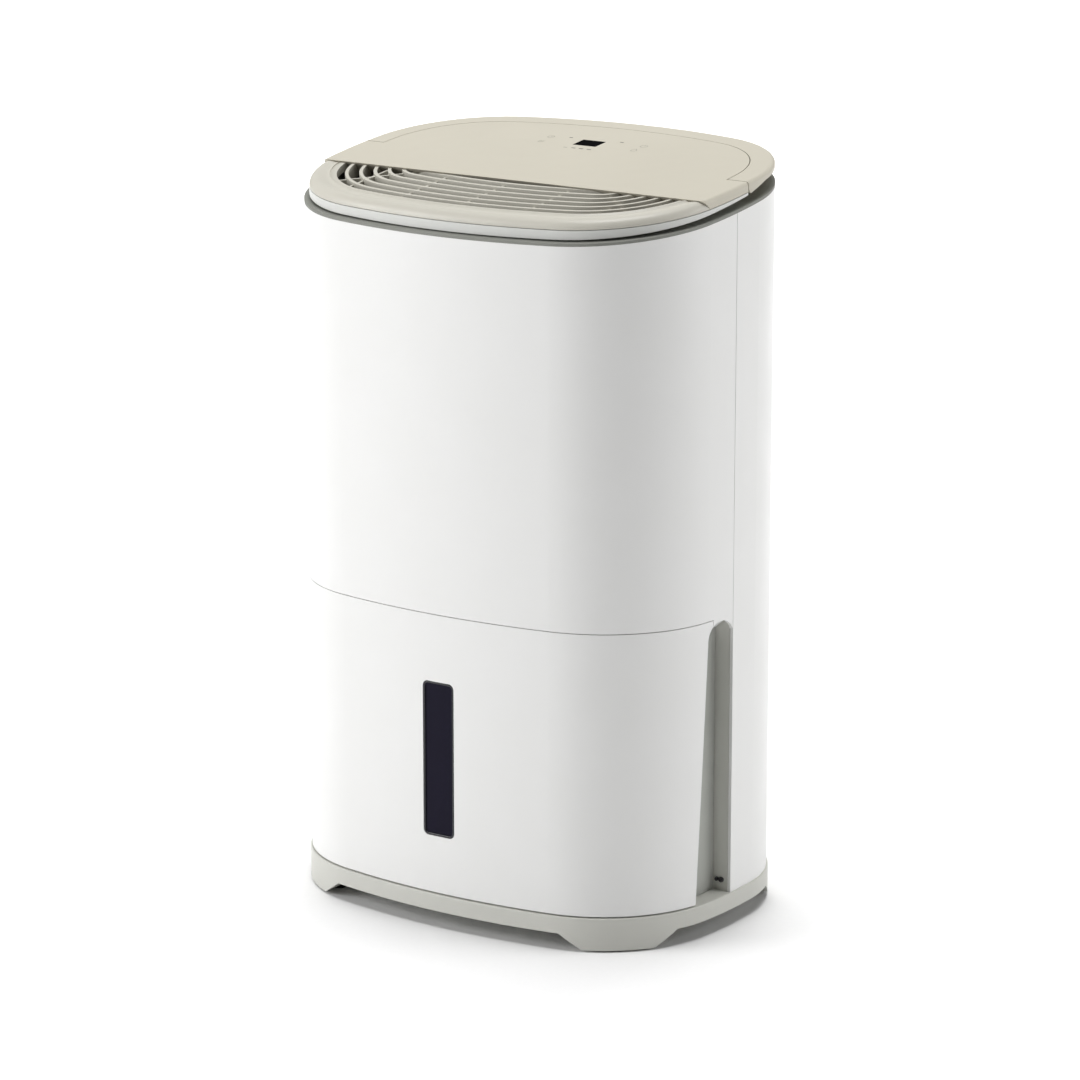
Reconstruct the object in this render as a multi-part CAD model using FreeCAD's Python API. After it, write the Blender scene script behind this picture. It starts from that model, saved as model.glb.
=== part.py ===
"""Free-standing compressor dehumidifier, built as the separate pieces it comes apart into.

Frame: millimetres, X to the right, Y to the rear, Z up. The origin is on the floor, under the middle
of the casing. The front, with the water tank, faces -Y.
"""
import FreeCAD, Part
import math
import os

V = FreeCAD.Vector
UP = V(0, 0, 1)
RIGHT = V(1, 0, 0)
REAR = V(0, 1, 0)
REACH = 700.0                      # past every face of the object, for cutting tools
CUT = 70.0                         # reach of a short cutting tool
MERGE = 0.001                      # points closer than this are one point
NEAR = 0.01                        # an edge closer than this to a face lies on it

# ------------------------------------------------------------------ driving sizes
# plan outline of the casing: tangent arcs, the same left and right
casing_width = 350.0
casing_depth = 257.2
front_radius = 525.0
side_radius = 388.0
rear_radius = 478.0
front_corner_radius = 98.0
rear_corner_radius = 97.0
side_centre_y = 2.4                # where the side arcs stand widest
casing_wall = 2.5

# heights
foot_drop = 1.5                    # rubber feet below the legs
base_top = 26.0
tank_seam = 241.0                  # joint between the tank front and the casing
rim_height = 537.8                 # casing rim at mid depth
top_slope = 0.1253                 # the whole top rises this much per mm towards the rear

# seams and general clearances
seam_gap = 0.6
fit_gap = 0.3                      # between pieces of one body that only lie near each other
slide_gap = 0.5                    # beside pieces that slide
pin_gap = 0.05                     # radial, round pins and shafts

# base
base_proud = 1.2                   # base stands out past the casing
base_edge_round = 0.8
base_skirt = 3.0
base_deck = 3.0
arch_height = 13.0
leg_slope_run = 17.0               # the legs' inner ends lean over this length
front_leg_x = 118.0                # inner end of each leg's flat, front and rear
side_leg_y = 78.0                  # inner end of each leg's flat, left and right
foot_radius = 8.0
foot_chamfer = 0.6
foot_stem_radius = 4.0
foot_stem_length = 6.0
front_foot = (122.0, -92.0)
rear_foot = (116.0, 92.0)
leg_block_radius = 16.0

# casing seams and side grip recesses
cover_seam_y = -1.0                # front cover meets rear cover
tongue_y = -26.0                   # front cover reaches down beside the tank from here back
recess_foot_y = -43.5              # tank's rear edge at the base
recess_shoulder_y = -32.2          # tank's rear edge where the arch starts
recess_shoulder_drop = 17.0        # below the tank seam
recess_crown_y = -19.0
recess_crown_drop = 2.5
recess_heel_drop = 12.0
recess_front_swell = (0.28, 0.7)   # arch's front half: point between shoulder and crown, along Y and up
recess_rear_swell = (0.35, 0.75)   # arch's rear half: point between crown and heel
ceiling_rise = 0.5                 # recess ceiling over the tank seam, at the skin
ceiling_thick = 2.2
recess_depth_x = 15.0              # from the casing's widest point in to the tank's side wall

# water tank
tank_wall = 2.2
tank_top_drop = 9.0                # tub's rim below the tank seam
tank_floor_gap = 0.3
tank_joint_gap = 1.2               # shadow joint over the base
tank_lid_thick = 2.0
tank_lid_lip = 4.0                 # lip inside the tub
fill_hole_radius = 12.0
drip_y = -30.0                     # where condensate drops into the tank
pour_hole = (34.0, 22.0)
pour_margin = 12.0                 # between the pour hole and the tub's side wall
window_width = 28.0
window_low = 71.0
window_high = 190.0
window_corner = 4.5
bezel_width = 1.7
bezel_gap = 0.1
bezel_sink = 0.5                   # bezel and pane lie behind the skin
lens_sink = 1.1

# float
float_size = (44.0, 26.0, 16.0)
float_arm_length = 46.0
float_eye_half = 3.0
float_eye_radius = 5.0
float_arm_half = 3.0
float_overhang = 8.0               # block past the arm, on the right
float_pivot = (100.0, -30.0)
float_pivot_drop = 34.0            # below the tub's rim
float_pin_radius = 2.0
float_ear_gap = 1.0
float_ear_thick = 3.0
float_ear_half = 6.0
magnet_radius = 4.0
magnet_length = 5.0
tank_switch_size = (24.0, 12.0, 6.0)

# chassis
bulkhead_thick = 2.5
deck_gap = 2.5                     # deck over the tank seam
deck_thick = 3.0

# top assembly: heights above the sloping rim
flange_thick = 2.0
top_inset = 2.0                    # collar, ring and lid stand inside the casing outline
neck_inset = 12.0
neck_wall = 2.5
grip_neck_inset = 22.0             # deeper neck behind the handle
collar_low_front = 2.8
collar_rise = 0.037                # collar's lower edge rises towards the rear
collar_wall = 2.8
parting_height = 10.4              # joint between collar and lid
parting_gap = 0.5
lid_height = 17.7
lid_thick = 3.0
lid_front_y = -38.5
lid_lean = 0.93                    # lid's front joint leans back as it goes down
lid_edge_round = 3.0
lip_low_height = 2.5               # foot of the lid's front lip, above the rim
lip_thick = 2.6
handle_front_y = 16.5
handle_width = 18.0
handle_end_gap = 1.1
handle_side_gap = 0.7
handle_low_front = 8.2
handle_low_rear = 12.2
handle_low_run = 27.0              # over this length the underside rises
handle_pivot_setback = 7.0         # behind the handle's end
handle_pivot_drop = 3.2            # below the lid's top
handle_pin_radius = 1.5
handle_pin_in_arm = 8.0
handle_pin_in_lid = 4.5

# air outlet grille
ring_width = 15.5                  # shoulder from the outer edge to the sunk field
shoulder_drop = 0.3                # shoulder's top below the lid's level
shoulder_profile = ((0.0, 0.0), (0.6, 0.42), (2.6, 0.76), (6.5, 0.93))  # mm in, share of the rise
field_sink = 1.3
field_margin = 5.0
louvre_count = 6
louvre_first = 30.0                # first louvre's middle, inside the casing outline
louvre_pitch = 10.6
louvre_thick = 2.6
louvre_depth = 11.0
cross_rib_x = (0.0, 55.0, 110.0)
cross_rib_thick = 2.0
cross_rib_depth = 8.0
cross_rib_drop = 2.0               # below the louvres' tops
corner_rib_angle = -42.0

# display in the lid
display_size = (20.4, 14.6)
display_y = 68.0
display_depth = 1.4

# rear intake
intake_half_width = 104.0
intake_low = 275.0
intake_high = 470.0
intake_border = 8.0
slat_pitch = 10.0
slat_height = 4.0
slat_columns = 5
mullion = 4.0
filter_thick = 4.5
filter_bar = 7.0
filter_mesh_thick = 1.2
filter_middle_bar = 4.0
filter_groove = 3.0                # from the frame's edge to the mesh

# refrigeration
coil_half_width = 100.0
coil_low = 264.0
coil_high = 452.0
coil_depth = 22.0
evaporator_y = 80.0                # front face
condenser_y = 50.0                 # front face
fin_pitch = 5.0
fin_thick = 2.2
fin_spine = 4.0
coil_tube_radius = 4.0
coil_rows = 6                      # even, so both open ends come out on one side
coil_plate = 2.0
coil_plate_rise = 4.0              # over the fins
pan_wall = 2.0
pan_height = 14.0
pan_margin = 4.0
chute_half = 9.0
nozzle_drop = 3.0                  # below the deck
nozzle_wall = 1.5
compressor_at = (-66.0, 62.0)
compressor_radius = 56.0
compressor_headroom = 36.5         # between the can and the deck, for the discharge bend
compressor_plate = 3.0
compressor_dome = 16.0             # rounding of the can's rims
weld_proud = 2.0
weld_share = 0.55                  # height of the weld seam on the can
weld_height = 4.0
ear_radius = 9.0
grommet_neck = 4.0
grommet_head = 3.0
grommet_head_radius = 7.5
grommet_low_radius = 8.0
bolt_head = 5.0
bolt_head_height = 3.0
terminal_half = 18.0
bracket_half = 6.0
bracket_thick = 3.0
bracket_foot = 12.0
compressor_foot_radius = 60.0
compressor_foot_angle = 40.0       # each foot from the X axis
grommet_height = 10.0
terminal_height = 55.0             # middle of the terminal cover over the foot plate
terminal_reach = 12.0              # cover past the can
accumulator_at = (22.0, 70.0)
accumulator_radius = 20.0
accumulator_headroom = 47.5
accumulator_round = 8.0
accumulator_lift = 60.0            # underside over the base
pipe_radius = 4.0
pipe_bend = 10.0
riser_y = 32.0                     # both pipes pass the deck here
discharge_inset = 36.0             # discharge riser, inside the scroll's right-hand side
riser_spacing = 28.0
discharge_x = 124.0                # risers beside the coils' open ends
suction_x = 134.0
suction_run_height = 11.5          # over the deck
drier_x = 132.0
drier_radius = 9.0
drier_span = (330.0, 394.0)
liquid_line_radius = 3.0
capillary_radius = 1.2
capillary_turns = 3
capillary_pitch = 7.0
capillary_coil_radius = 13.0

# fan
fan_height = 372.0
fan_rear_y = 38.0
fan_width = 48.0
fan_radius = 76.0
fan_ring = 4.0
blade_count = 28
blade_length = 17.0
blade_thick = 1.6
blade_inset = 0.5                  # inside the wheel's rim
blade_tilt = 20.0
wheel_plate = 2.0
ring_depth = 3.0
hub_length = 24.0
hub_radius = 14.0
shaft_radius = 4.0
scroll_wall = 2.5
scroll_gap = 4.0                   # round the wheel, front and rear
scroll_room = 16.0                 # between the wheel and the scroll
scroll_outlet_rise = 14.0          # outlet over the round part
inlet_radius = 60.0
motor_radius = 40.0
motor_length = 40.0
motor_round = 5.0
motor_end_wall = 3.0
shaft_end_gap = 1.0
scroll_throat = 27.6               # outlet's left wall, left of the middle
stand_half = 30.0
stand_slot_half = 10.0
stand_overlap = 8.0                # stand reaches up beside the scroll
duct_top = 515.0
duct_wall = 2.0
duct_half_width = 129.5
duct_front_margin = 2.0            # ahead of the first louvre
duct_rear_margin = 8.0             # behind the lid's front joint

# electrics and fittings
box_wall = 2.0
electrics_gap = 14.0               # beside the fan housing
electrics_size = (38.0, 75.0, 130.0)
electrics_front_y = -55.0
power_board_length = 65.0
power_board_height = 116.0
coil_block_size = (16.4, 20.0, 25.0)
relay_size = (12.4, 20.0, 16.0)
coil_block_lift = 20.0             # over the deck
relay_lift = 24.0
capacitor_gap = 34.0               # its middle beside the fan housing
capacitor_y = -10.0
capacitor_radius = 19.0
capacitor_height = 70.0
capacitor_round = 2.5
tab_size = (1.0, 6.0, 8.0)
tab_spread = 6.0
board_post_radius = 2.5
board_post_inset = 5.0
board_thick = 1.6
board_size = (90.0, 44.0)
board_drop = 6.0                   # board's face below the lid's underside
sensor_x = -136.0
sensor_half = (5.0, 8.0)
sensor_height = 76.0
sensor_bulb = (12.0, 18.0)         # depth and height
sensor_stand_half = 1.0
gland_at = (92.0, 62.0)
gland_radius = 9.0
gland_bore = 4.0
gland_neck = 7.0                   # through the wall
gland_inside = 11.0
gland_outside = 7.5
gland_round = 2.0
drain_x = -98.0
drain_tube_radius = 7.0
drain_bore_radius = 5.0
drain_reach = 8.5                  # spigot past the rear wall
cap_grip = 5.0                     # cap's length over the spigot
cap_wall = 2.5
cap_round = 1.5
screw_head_radius = 3.8
screw_head_height = 2.4
screw_drive_radius = 1.7
screw_drive_depth = 1.0
screw_shank_radius = 1.9
screw_shank_length = 9.0
low_screw = (34.0, 44.0)           # rear cover into the base's posts
high_screw_x = 60.0                # rear cover into the deck's posts
high_screw_rise = 5.0              # over the deck
screw_post_width = 12.0
screw_post_depth = 10.0
recess_screw_inset = 2.0           # inside the middle of the grip recess
recess_screw_lift = 8.5            # over the base

# ------------------------------------------------------------------ sizes that follow
half_width = casing_width / 2
half_depth = casing_depth / 2
top_setback = top_inset + base_proud          # brings the lid's rear edge plumb with the base
tub_half_width = half_width - recess_depth_x
tub_top = tank_seam - tank_top_drop
bulkhead_y = cover_seam_y + seam_gap / 2
deck_low = tank_seam + deck_gap
deck_top = deck_low + deck_thick
handle_pivot_y = handle_front_y + handle_end_gap + handle_pivot_setback
handle_pivot_z = rim_height + lid_height - handle_pivot_drop + top_slope * handle_pivot_y
fan_front_y = fan_rear_y - fan_width
motor_rear_y = fan_front_y - scroll_gap - scroll_wall
pan_y = (condenser_y - pan_margin, evaporator_y + coil_depth + pan_margin)
pan_half_width = coil_half_width + coil_plate + 2 * pan_margin
filter_y = pan_y[1] + slide_gap
drain_z = deck_top + pan_wall + drain_tube_radius + fit_gap
high_screw = (high_screw_x, deck_top + high_screw_rise)
compressor_height = deck_low - compressor_headroom - base_top - grommet_height - compressor_plate
accumulator_height = deck_low - accumulator_headroom - base_top - accumulator_lift
scroll_radius = fan_radius + scroll_room
scroll_top = fan_height + scroll_radius + scroll_outlet_rise
discharge_hole = (scroll_radius - discharge_inset, riser_y)
suction_hole = (discharge_hole[0] + riser_spacing, riser_y)
coil_pitch = (coil_high - coil_low) / coil_rows
evaporator_tubes_y = evaporator_y + coil_depth / 2
condenser_tubes_y = condenser_y + coil_depth / 2
first_row_z = coil_low + coil_pitch / 2
last_row_z = coil_high - coil_pitch / 2
float_pivot_z = tub_top - float_pivot_drop


# ------------------------------------------------------------------ shape helpers
def box(x, y, z):
    """Box between the low and high value of each pair."""
    return Part.makeBox(x[1] - x[0], y[1] - y[0], z[1] - z[0], V(x[0], y[0], z[0]))


def rod(radius, start, axis, length):
    return Part.makeCylinder(radius, length, start, axis)


def tube(outer, inner, start, axis, length):
    return rod(outer, start, axis, length).cut(rod(inner, start, axis, length))


def fuse(shapes):
    return shapes[0].multiFuse(shapes[1:]).removeSplitter()


def mirrored(shape):
    """The same piece on the other side of the middle plane."""
    return shape.mirror(V(0, 0, 0), RIGHT)


def both_sides(shape):
    return shape.fuse(mirrored(shape))


def polygon(points, direction):
    """Prism on a closed polygon of vectors."""
    return Part.Face(Part.makePolygon(points + [points[0]])).extrude(direction)


def side_slab(points, x_low=-REACH, x_high=REACH):
    """Prism along X on (y, z) points."""
    return polygon([V(x_low, y, z) for y, z in points], V(x_high - x_low, 0, 0))


def front_slab(points, y_low, y_high):
    """Prism along Y on (x, z) points."""
    return polygon([V(x, y_low, z) for x, z in points], V(0, y_high - y_low, 0))


def corner_centre(centre_a, radius_a, centre_b, radius_b, radius):
    """Centre of the corner arc that touches two larger arcs from inside, on the right-hand side."""
    reach_a = radius_a - radius
    reach_b = radius_b - radius
    line = centre_b - centre_a
    along = (reach_a ** 2 - reach_b ** 2 + line.Length ** 2) / (2 * line.Length)
    across = math.sqrt(reach_a ** 2 - along ** 2)
    step = V(line).normalize()
    return centre_a + step * along + V(-step.y, step.x, 0) * across


def arc(centre, radius, start, end):
    """Shorter arc about centre from start to end."""
    middle = ((start - centre).normalize() + (end - centre).normalize()).normalize()
    return Part.Arc(start, centre + middle * radius, end).toShape()


def outline_wire(offset, z=0.0, setback=0.0):
    """Casing outline in plan, moved outwards by offset (negative is inwards)."""
    front_c = V(0, front_radius - half_depth, 0)
    side_c = V(half_width - side_radius, side_centre_y, 0)
    rear_c = V(0, half_depth - rear_radius, 0)
    near_c = corner_centre(front_c, front_radius, side_c, side_radius, front_corner_radius)
    far_c = corner_centre(side_c, side_radius, rear_c, rear_radius, rear_corner_radius)

    def touch(big, radius, small):
        return big + (small - big).normalize() * (radius + offset)

    points = [touch(front_c, front_radius, near_c), touch(side_c, side_radius, near_c),
              touch(side_c, side_radius, far_c), touch(rear_c, rear_radius, far_c)]
    right = [arc(near_c, front_corner_radius + offset, points[0], points[1]),
             arc(side_c, side_radius + offset, points[1], points[2]),
             arc(far_c, rear_corner_radius + offset, points[2], points[3])]
    left = [mirrored(edge) for edge in right]
    opposite = [V(-p.x, p.y, 0) for p in points]
    front = Part.Arc(opposite[0], V(0, -half_depth - offset, 0), points[0]).toShape()
    rear = Part.Arc(points[3], V(0, half_depth + offset, 0), opposite[3]).toShape()
    wire = Part.Wire(Part.__sortEdges__([front] + right + [rear] + left))
    wire.translate(V(0, setback, z))
    return wire


def prism(offset, low, high, setback=0.0):
    """Upright solid on the casing outline."""
    return Part.Face(outline_wire(offset, low, setback)).extrude(V(0, 0, high - low))


def band(outer, inner, low, high, setback=0.0):
    """Upright wall between two offsets of the outline."""
    return prism(outer, low, high, setback).cut(prism(inner, low - 1, high + 1, setback))


def rim_z(y):
    """Height of the sloping casing rim at a place along Y."""
    return rim_height + top_slope * y


def sloped(points, x_low=-REACH, x_high=REACH):
    """Prism along X on (y, height above the sloping rim) points."""
    return side_slab([(y, rim_z(y) + height) for y, height in points], x_low, x_high)


def sloped_block(x, y, height):
    """Block whose underside and top run parallel to the rim."""
    return sloped([(y[0], height[0]), (y[1], height[0]), (y[1], height[1]), (y[0], height[1])], x[0], x[1])


def slope_layer(low, high):
    """Everything between two heights above the rim."""
    return sloped_block((-REACH, REACH), (-REACH, REACH), (low, high))


def top_prism(offset, low, high):
    """Solid on the outline of the top pieces, between two heights above the rim."""
    return prism(offset, 0, 2 * rim_height, top_setback).common(slope_layer(low, high))


def top_band(outer, inner, low, high):
    """Wall between two offsets of the top pieces' outline; heights are above the rim."""
    return band(outer, inner, 0, 2 * rim_height, top_setback).common(slope_layer(low, high))


def y_range(low, high):
    """Everything between two places along Y."""
    return box((-REACH, REACH), (low, high), (-REACH, 2 * REACH))


def outer_top_edges(shape, height, outline_offset):
    """Edges of a top piece at a height above the rim, on one offset of its outline."""
    wall = outline_wire(outline_offset, 0.0, top_setback)
    chosen = []
    for edge in shape.Edges:
        middle = edge.valueAt((edge.FirstParameter + edge.LastParameter) / 2)
        on_wall = wall.distToShape(Part.Vertex(V(middle.x, middle.y, 0)))[0] < NEAR
        if on_wall and abs(middle.z - rim_z(middle.y) - height) < NEAR:
            chosen.append(edge)
    return chosen


def rounded_plate(width, low, high, corner, y_low, y_high):
    """Upright plate with rounded corners, facing the front and centred on X."""
    plate = box((-width / 2, width / 2), (y_low, y_high), (low, high))
    across = [e for e in plate.Edges if e.BoundBox.XLength < NEAR and e.BoundBox.ZLength < NEAR]
    return plate.makeFillet(corner, across)


def bent_pipe(points, radius, bend):
    """Round bar along straight runs joined by tangent arcs."""
    edges = []
    start = points[0]
    for before, corner, after in zip(points, points[1:], points[2:]):
        arrive = (corner - before).normalize()
        leave = (after - corner).normalize()
        turn = arrive.getAngle(leave)
        trim = bend * math.tan(turn / 2)
        inward = (leave - arrive).normalize()
        centre = corner + inward * (bend / math.cos(turn / 2))
        first = corner - arrive * trim
        last = corner + leave * trim
        if start.distanceToPoint(first) > MERGE:
            edges.append(Part.LineSegment(start, first).toShape())
        edges.append(Part.Arc(first, centre - inward * bend, last).toShape())
        start = last
    edges.append(Part.LineSegment(start, points[-1]).toShape())
    section = Part.Wire(Part.Circle(points[0], points[1] - points[0], radius).toShape())
    return Part.Wire(edges).makePipeShell([section], True, False)


def screw(head_at, inward):
    """Pan-head screw: head outside, shank inward."""
    outward = inward * -1
    head = rod(screw_head_radius, head_at, outward, screw_head_height)
    shank = rod(screw_shank_radius, head_at, inward, screw_shank_length)
    drive = rod(screw_drive_radius, head_at + outward * (screw_head_height - screw_drive_depth), outward,
                2 * screw_drive_depth)
    return head.fuse(shank).cut(drive)


# ------------------------------------------------------------------ shared regions
def recess_cutter():
    """Side grip recess beside the tank: a tall slanted slot with an arched top, on both sides."""
    x = half_width - recess_depth_x
    shoulder = V(x, recess_shoulder_y, tank_seam - recess_shoulder_drop)
    crown = V(x, recess_crown_y, tank_seam - recess_crown_drop)
    heel = V(x, cover_seam_y, tank_seam - recess_heel_drop)
    front_mid = V(x, shoulder.y + recess_front_swell[0] * (crown.y - shoulder.y),
                  shoulder.z + recess_front_swell[1] * (crown.z - shoulder.z))
    rear_mid = V(x, heel.y + recess_rear_swell[0] * (crown.y - heel.y),
                 heel.z + recess_rear_swell[1] * (crown.z - heel.z))
    foot_front = V(x, recess_foot_y, base_top)
    foot_rear = V(x, cover_seam_y, base_top)
    edges = [Part.LineSegment(foot_front, shoulder).toShape(), Part.Arc(shoulder, front_mid, crown).toShape(),
             Part.Arc(crown, rear_mid, heel).toShape(), Part.LineSegment(heel, foot_rear).toShape(),
             Part.LineSegment(foot_rear, foot_front).toShape()]
    cutter = Part.Face(Part.Wire(edges)).extrude(V(REACH, 0, 0))
    return both_sides(cutter)


def lid_joint_y(height):
    """The leaning joint between the outlet ring and the lid, at a height above the rim."""
    return lid_front_y + lid_lean * (lid_height - height)


def behind_lid_joint(gap):
    """Region behind the lid joint."""
    low = -lid_height
    high = 3 * lid_height
    return sloped([(lid_joint_y(low) + gap, low), (REACH, low), (REACH, high),
                   (lid_joint_y(high) + gap, high)])


def rear_wall_y(x):
    """Where the casing's rear face stands at a distance x from the middle."""
    probe = Part.makeLine(V(x, 0, 0), V(x, REACH, 0))
    return probe.distToShape(outline_wire(0.0))[1][0][0].y


def handle_region():
    """Space of the folded handle: its underside rises, then runs parallel to the lid."""
    front = handle_front_y + handle_end_gap
    space = sloped([(front, handle_low_front), (handle_front_y + handle_low_run, handle_low_rear),
                    (REACH, handle_low_rear), (REACH, REACH), (front, REACH)])
    ahead = space.common(y_range(-REACH, handle_pivot_y))
    behind = space.common(y_range(handle_pivot_y, REACH))
    round_end = rod(handle_pivot_setback + handle_end_gap / 2, V(-REACH, handle_pivot_y, handle_pivot_z),
                    RIGHT, 2 * REACH)
    return behind.fuse(ahead.common(round_end)).removeSplitter()


# ------------------------------------------------------------------ base
def leg_gap(inner, axis_slab):
    """Arch between two legs: level over the middle, leaning ends down to the legs' flats."""
    crest = inner - leg_slope_run
    return axis_slab([(-inner, -1.0), (-inner, foot_drop), (-crest, arch_height), (crest, arch_height),
                      (inner, foot_drop), (inner, -1.0)])


def foot_places():
    places = []
    for x, y in (front_foot, rear_foot):
        places += [(x, y), (-x, y)]
    return places


def make_base_tray():
    tray = prism(base_proud, foot_drop, base_top)
    tray = tray.makeFillet(base_edge_round, [e for e in tray.Edges if e.BoundBox.ZMin > base_top - MERGE])
    hollow = prism(base_proud - base_skirt, foot_drop - 1, base_top - base_deck)
    tray = tray.cut(hollow)
    blocks = [rod(leg_block_radius, V(x, y, foot_drop), UP, base_top - base_deck / 2 - foot_drop)
              for x, y in foot_places()]
    posts = [screw_post(place, base_top - base_deck / 2) for place in rear_screw_places()[:2]]
    posts += [recess_post(place) for place in recess_screw_places()]
    tray = fuse([tray] + blocks + posts)
    tray = tray.cut(leg_gap(front_leg_x, lambda pts: front_slab(pts, -REACH, REACH)))
    tray = tray.cut(leg_gap(side_leg_y, side_slab))
    for x, y in foot_places():
        tray = tray.cut(rod(foot_stem_radius, V(x, y, foot_drop - 1), UP, foot_stem_length + 1))
    for x, y in compressor_feet():
        tray = tray.cut(rod(screw_shank_radius, V(x, y, base_top - base_deck - 1), UP, base_deck + 2))
    return tray.removeSplitter()


def make_rubber_feet():
    feet = []
    for x, y in foot_places():
        pad = rod(foot_radius, V(x, y, 0), UP, foot_drop)
        pad = pad.makeChamfer(foot_chamfer, [e for e in pad.Edges if e.BoundBox.ZMax < NEAR])
        feet.append(pad.fuse(rod(foot_stem_radius, V(x, y, 0), UP, foot_drop + foot_stem_length)))
    return feet


# ------------------------------------------------------------------ casing
def casing_shell():
    return band(0, -casing_wall, base_top, 2 * rim_height).common(slope_layer(-REACH, 0))


def recess_ceiling():
    """Sloping top face of the grip recess, from the skin in and down to the tank's side."""
    inner = tub_half_width + slide_gap
    high = tank_seam + ceiling_rise
    low = tank_seam - recess_heel_drop
    plate = front_slab([(half_width, high), (half_width, high + ceiling_thick),
                        (inner, low + ceiling_thick), (inner, low)],
                       tongue_y + seam_gap, cover_seam_y - seam_gap / 2)
    return plate.common(prism(-casing_wall / 2, base_top, tank_seam + CUT))


def make_front_cover():
    rear_edge = cover_seam_y - seam_gap / 2
    low = tank_seam + seam_gap / 2
    region = side_slab([(-REACH, low), (tongue_y + seam_gap / 2, low), (tongue_y + seam_gap / 2, base_top),
                        (rear_edge, base_top), (rear_edge, REACH + rim_height), (-REACH, REACH + rim_height)])
    shell = casing_shell().common(region).cut(recess_cutter())
    ceiling = recess_ceiling()
    return fuse([shell, ceiling, mirrored(ceiling)])


def rear_screw_places():
    """Rear cover screws: the low pair into the base, the high pair into the chassis deck."""
    return [V(side * x, rear_wall_y(x + screw_head_radius), z)
            for x, z in (low_screw, high_screw) for side in (-1, 1)]


def screw_post(place, low):
    """Post inside the rear cover that takes a screw."""
    half = screw_post_width / 2
    face = rear_wall_y(abs(place.x) + half) - casing_wall - fit_gap
    post = box((place.x - half, place.x + half), (face - screw_post_depth, face), (low, place.z + half))
    return post.cut(rod(screw_shank_radius, place - REAR * CUT, REAR, 2 * CUT))


def recess_screw_places():
    """Foot of each grip recess: a screw facing forward."""
    x = half_width - recess_depth_x / 2 - recess_screw_inset
    return [V(side * x, bulkhead_y, base_top + recess_screw_lift) for side in (-1, 1)]


def recess_post(place):
    """Post on the base, behind the bulkhead's wing, that takes a recess screw."""
    face = bulkhead_y + bulkhead_thick + fit_gap
    half = screw_post_width / 3
    post = box((place.x - half, place.x + half), (face, face + screw_shank_length),
               (base_top - base_deck / 2, place.z + half))
    return post.cut(rod(screw_shank_radius, place, REAR, CUT))


def make_rear_cover():
    region = box((-REACH, REACH), (bulkhead_y, REACH), (base_top, REACH + rim_height))
    shell = casing_shell().common(region)
    opening = box((-intake_half_width, intake_half_width), (half_depth / 2, REACH), (intake_low, intake_high))
    shell = shell.cut(opening)
    for place in rear_screw_places():
        shell = shell.cut(rod(screw_head_radius + fit_gap, place, REAR, CUT))
        shell = shell.cut(rod(screw_shank_radius, place - REAR * CUT, REAR, 2 * CUT))
    shell = shell.cut(rod(drain_tube_radius, V(drain_x, half_depth / 2, drain_z), REAR, half_depth))
    shell = shell.cut(rod(gland_neck, V(gland_at[0], half_depth / 2, gland_at[1]), REAR, half_depth))
    return shell


def make_casing_screws():
    rear = [screw(place, V(0, -1, 0)) for place in rear_screw_places()]
    front = [screw(place, REAR) for place in recess_screw_places()]
    return rear + front


# ------------------------------------------------------------------ intake and filter
def intake_panel():
    """Outer size of the grille that fills the intake opening."""
    half = intake_half_width - slide_gap
    return half, intake_low + slide_gap, intake_high - slide_gap


def make_intake_grille():
    half, low, high = intake_panel()
    panel = band(0, -casing_wall, low, high).common(box((-half, half), (half_depth / 2, REACH), (low, high)))
    rim = box((-half, half), (filter_y + filter_thick, REACH), (low, high))
    rim = rim.cut(box((-half + mullion, half - mullion), (0, REACH), (low + mullion, high - mullion)))
    rim = rim.common(prism(-casing_wall / 2, low, high))
    column_width = (2 * (half - intake_border) - (slat_columns - 1) * mullion) / slat_columns
    rows = int((high - low - 2 * intake_border + slat_height) / slat_pitch)
    first = (low + high - rows * slat_pitch + slat_height) / 2
    slots = []
    for column in range(slat_columns):
        x = -half + intake_border + column * (column_width + mullion)
        for row in range(rows):
            z = first + row * slat_pitch
            slots.append(box((x, x + column_width), (half_depth / 2, REACH),
                             (z, z + slat_pitch - slat_height)))
    return fuse([panel, rim]).cut(Part.makeCompound(slots))


def filter_outer():
    half, low, high = intake_panel()
    return (-half, half), (low, high)


def make_filter_frame():
    x, z = filter_outer()
    frame = box(x, (filter_y, filter_y + filter_thick), z)
    half_bar = filter_middle_bar / 2
    for left, right in ((x[0] + filter_bar, -half_bar), (half_bar, x[1] - filter_bar)):
        frame = frame.cut(box((left, right), (filter_y - 1, filter_y + filter_thick + 1),
                              (z[0] + filter_bar, z[1] - filter_bar)))
    return frame.cut(mesh_block())


def mesh_span():
    low = filter_y + (filter_thick - filter_mesh_thick) / 2
    return low, low + filter_mesh_thick


def mesh_block():
    """Place of the mesh: in a groove round the inside of the frame."""
    x, z = filter_outer()
    return box((x[0] + filter_groove, x[1] - filter_groove), mesh_span(),
               (z[0] + filter_groove, z[1] - filter_groove))


# ------------------------------------------------------------------ water tank
def window_plate(trim, y_low, y_high):
    """Water window outline, trimmed in by an equal amount all round."""
    return rounded_plate(window_width - 2 * trim, window_low + trim, window_high - trim,
                         window_corner - trim, y_low, y_high)


def make_tank_front():
    low = base_top + tank_joint_gap
    skin = band(0, -casing_wall, low, tank_seam - seam_gap / 2)
    skin = skin.common(box((-REACH, REACH), (-REACH, tongue_y - seam_gap / 2), (low, tank_seam)))
    skin = skin.cut(recess_cutter())
    return skin.cut(window_plate(0, -REACH, -half_depth / 2))


def make_window_bezel():
    frame = window_plate(bezel_gap, -REACH, -half_depth / 2)
    frame = frame.cut(window_plate(bezel_width, -REACH, -half_depth / 2))
    return frame.common(band(-bezel_sink, -casing_wall, base_top, tank_seam))


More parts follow.
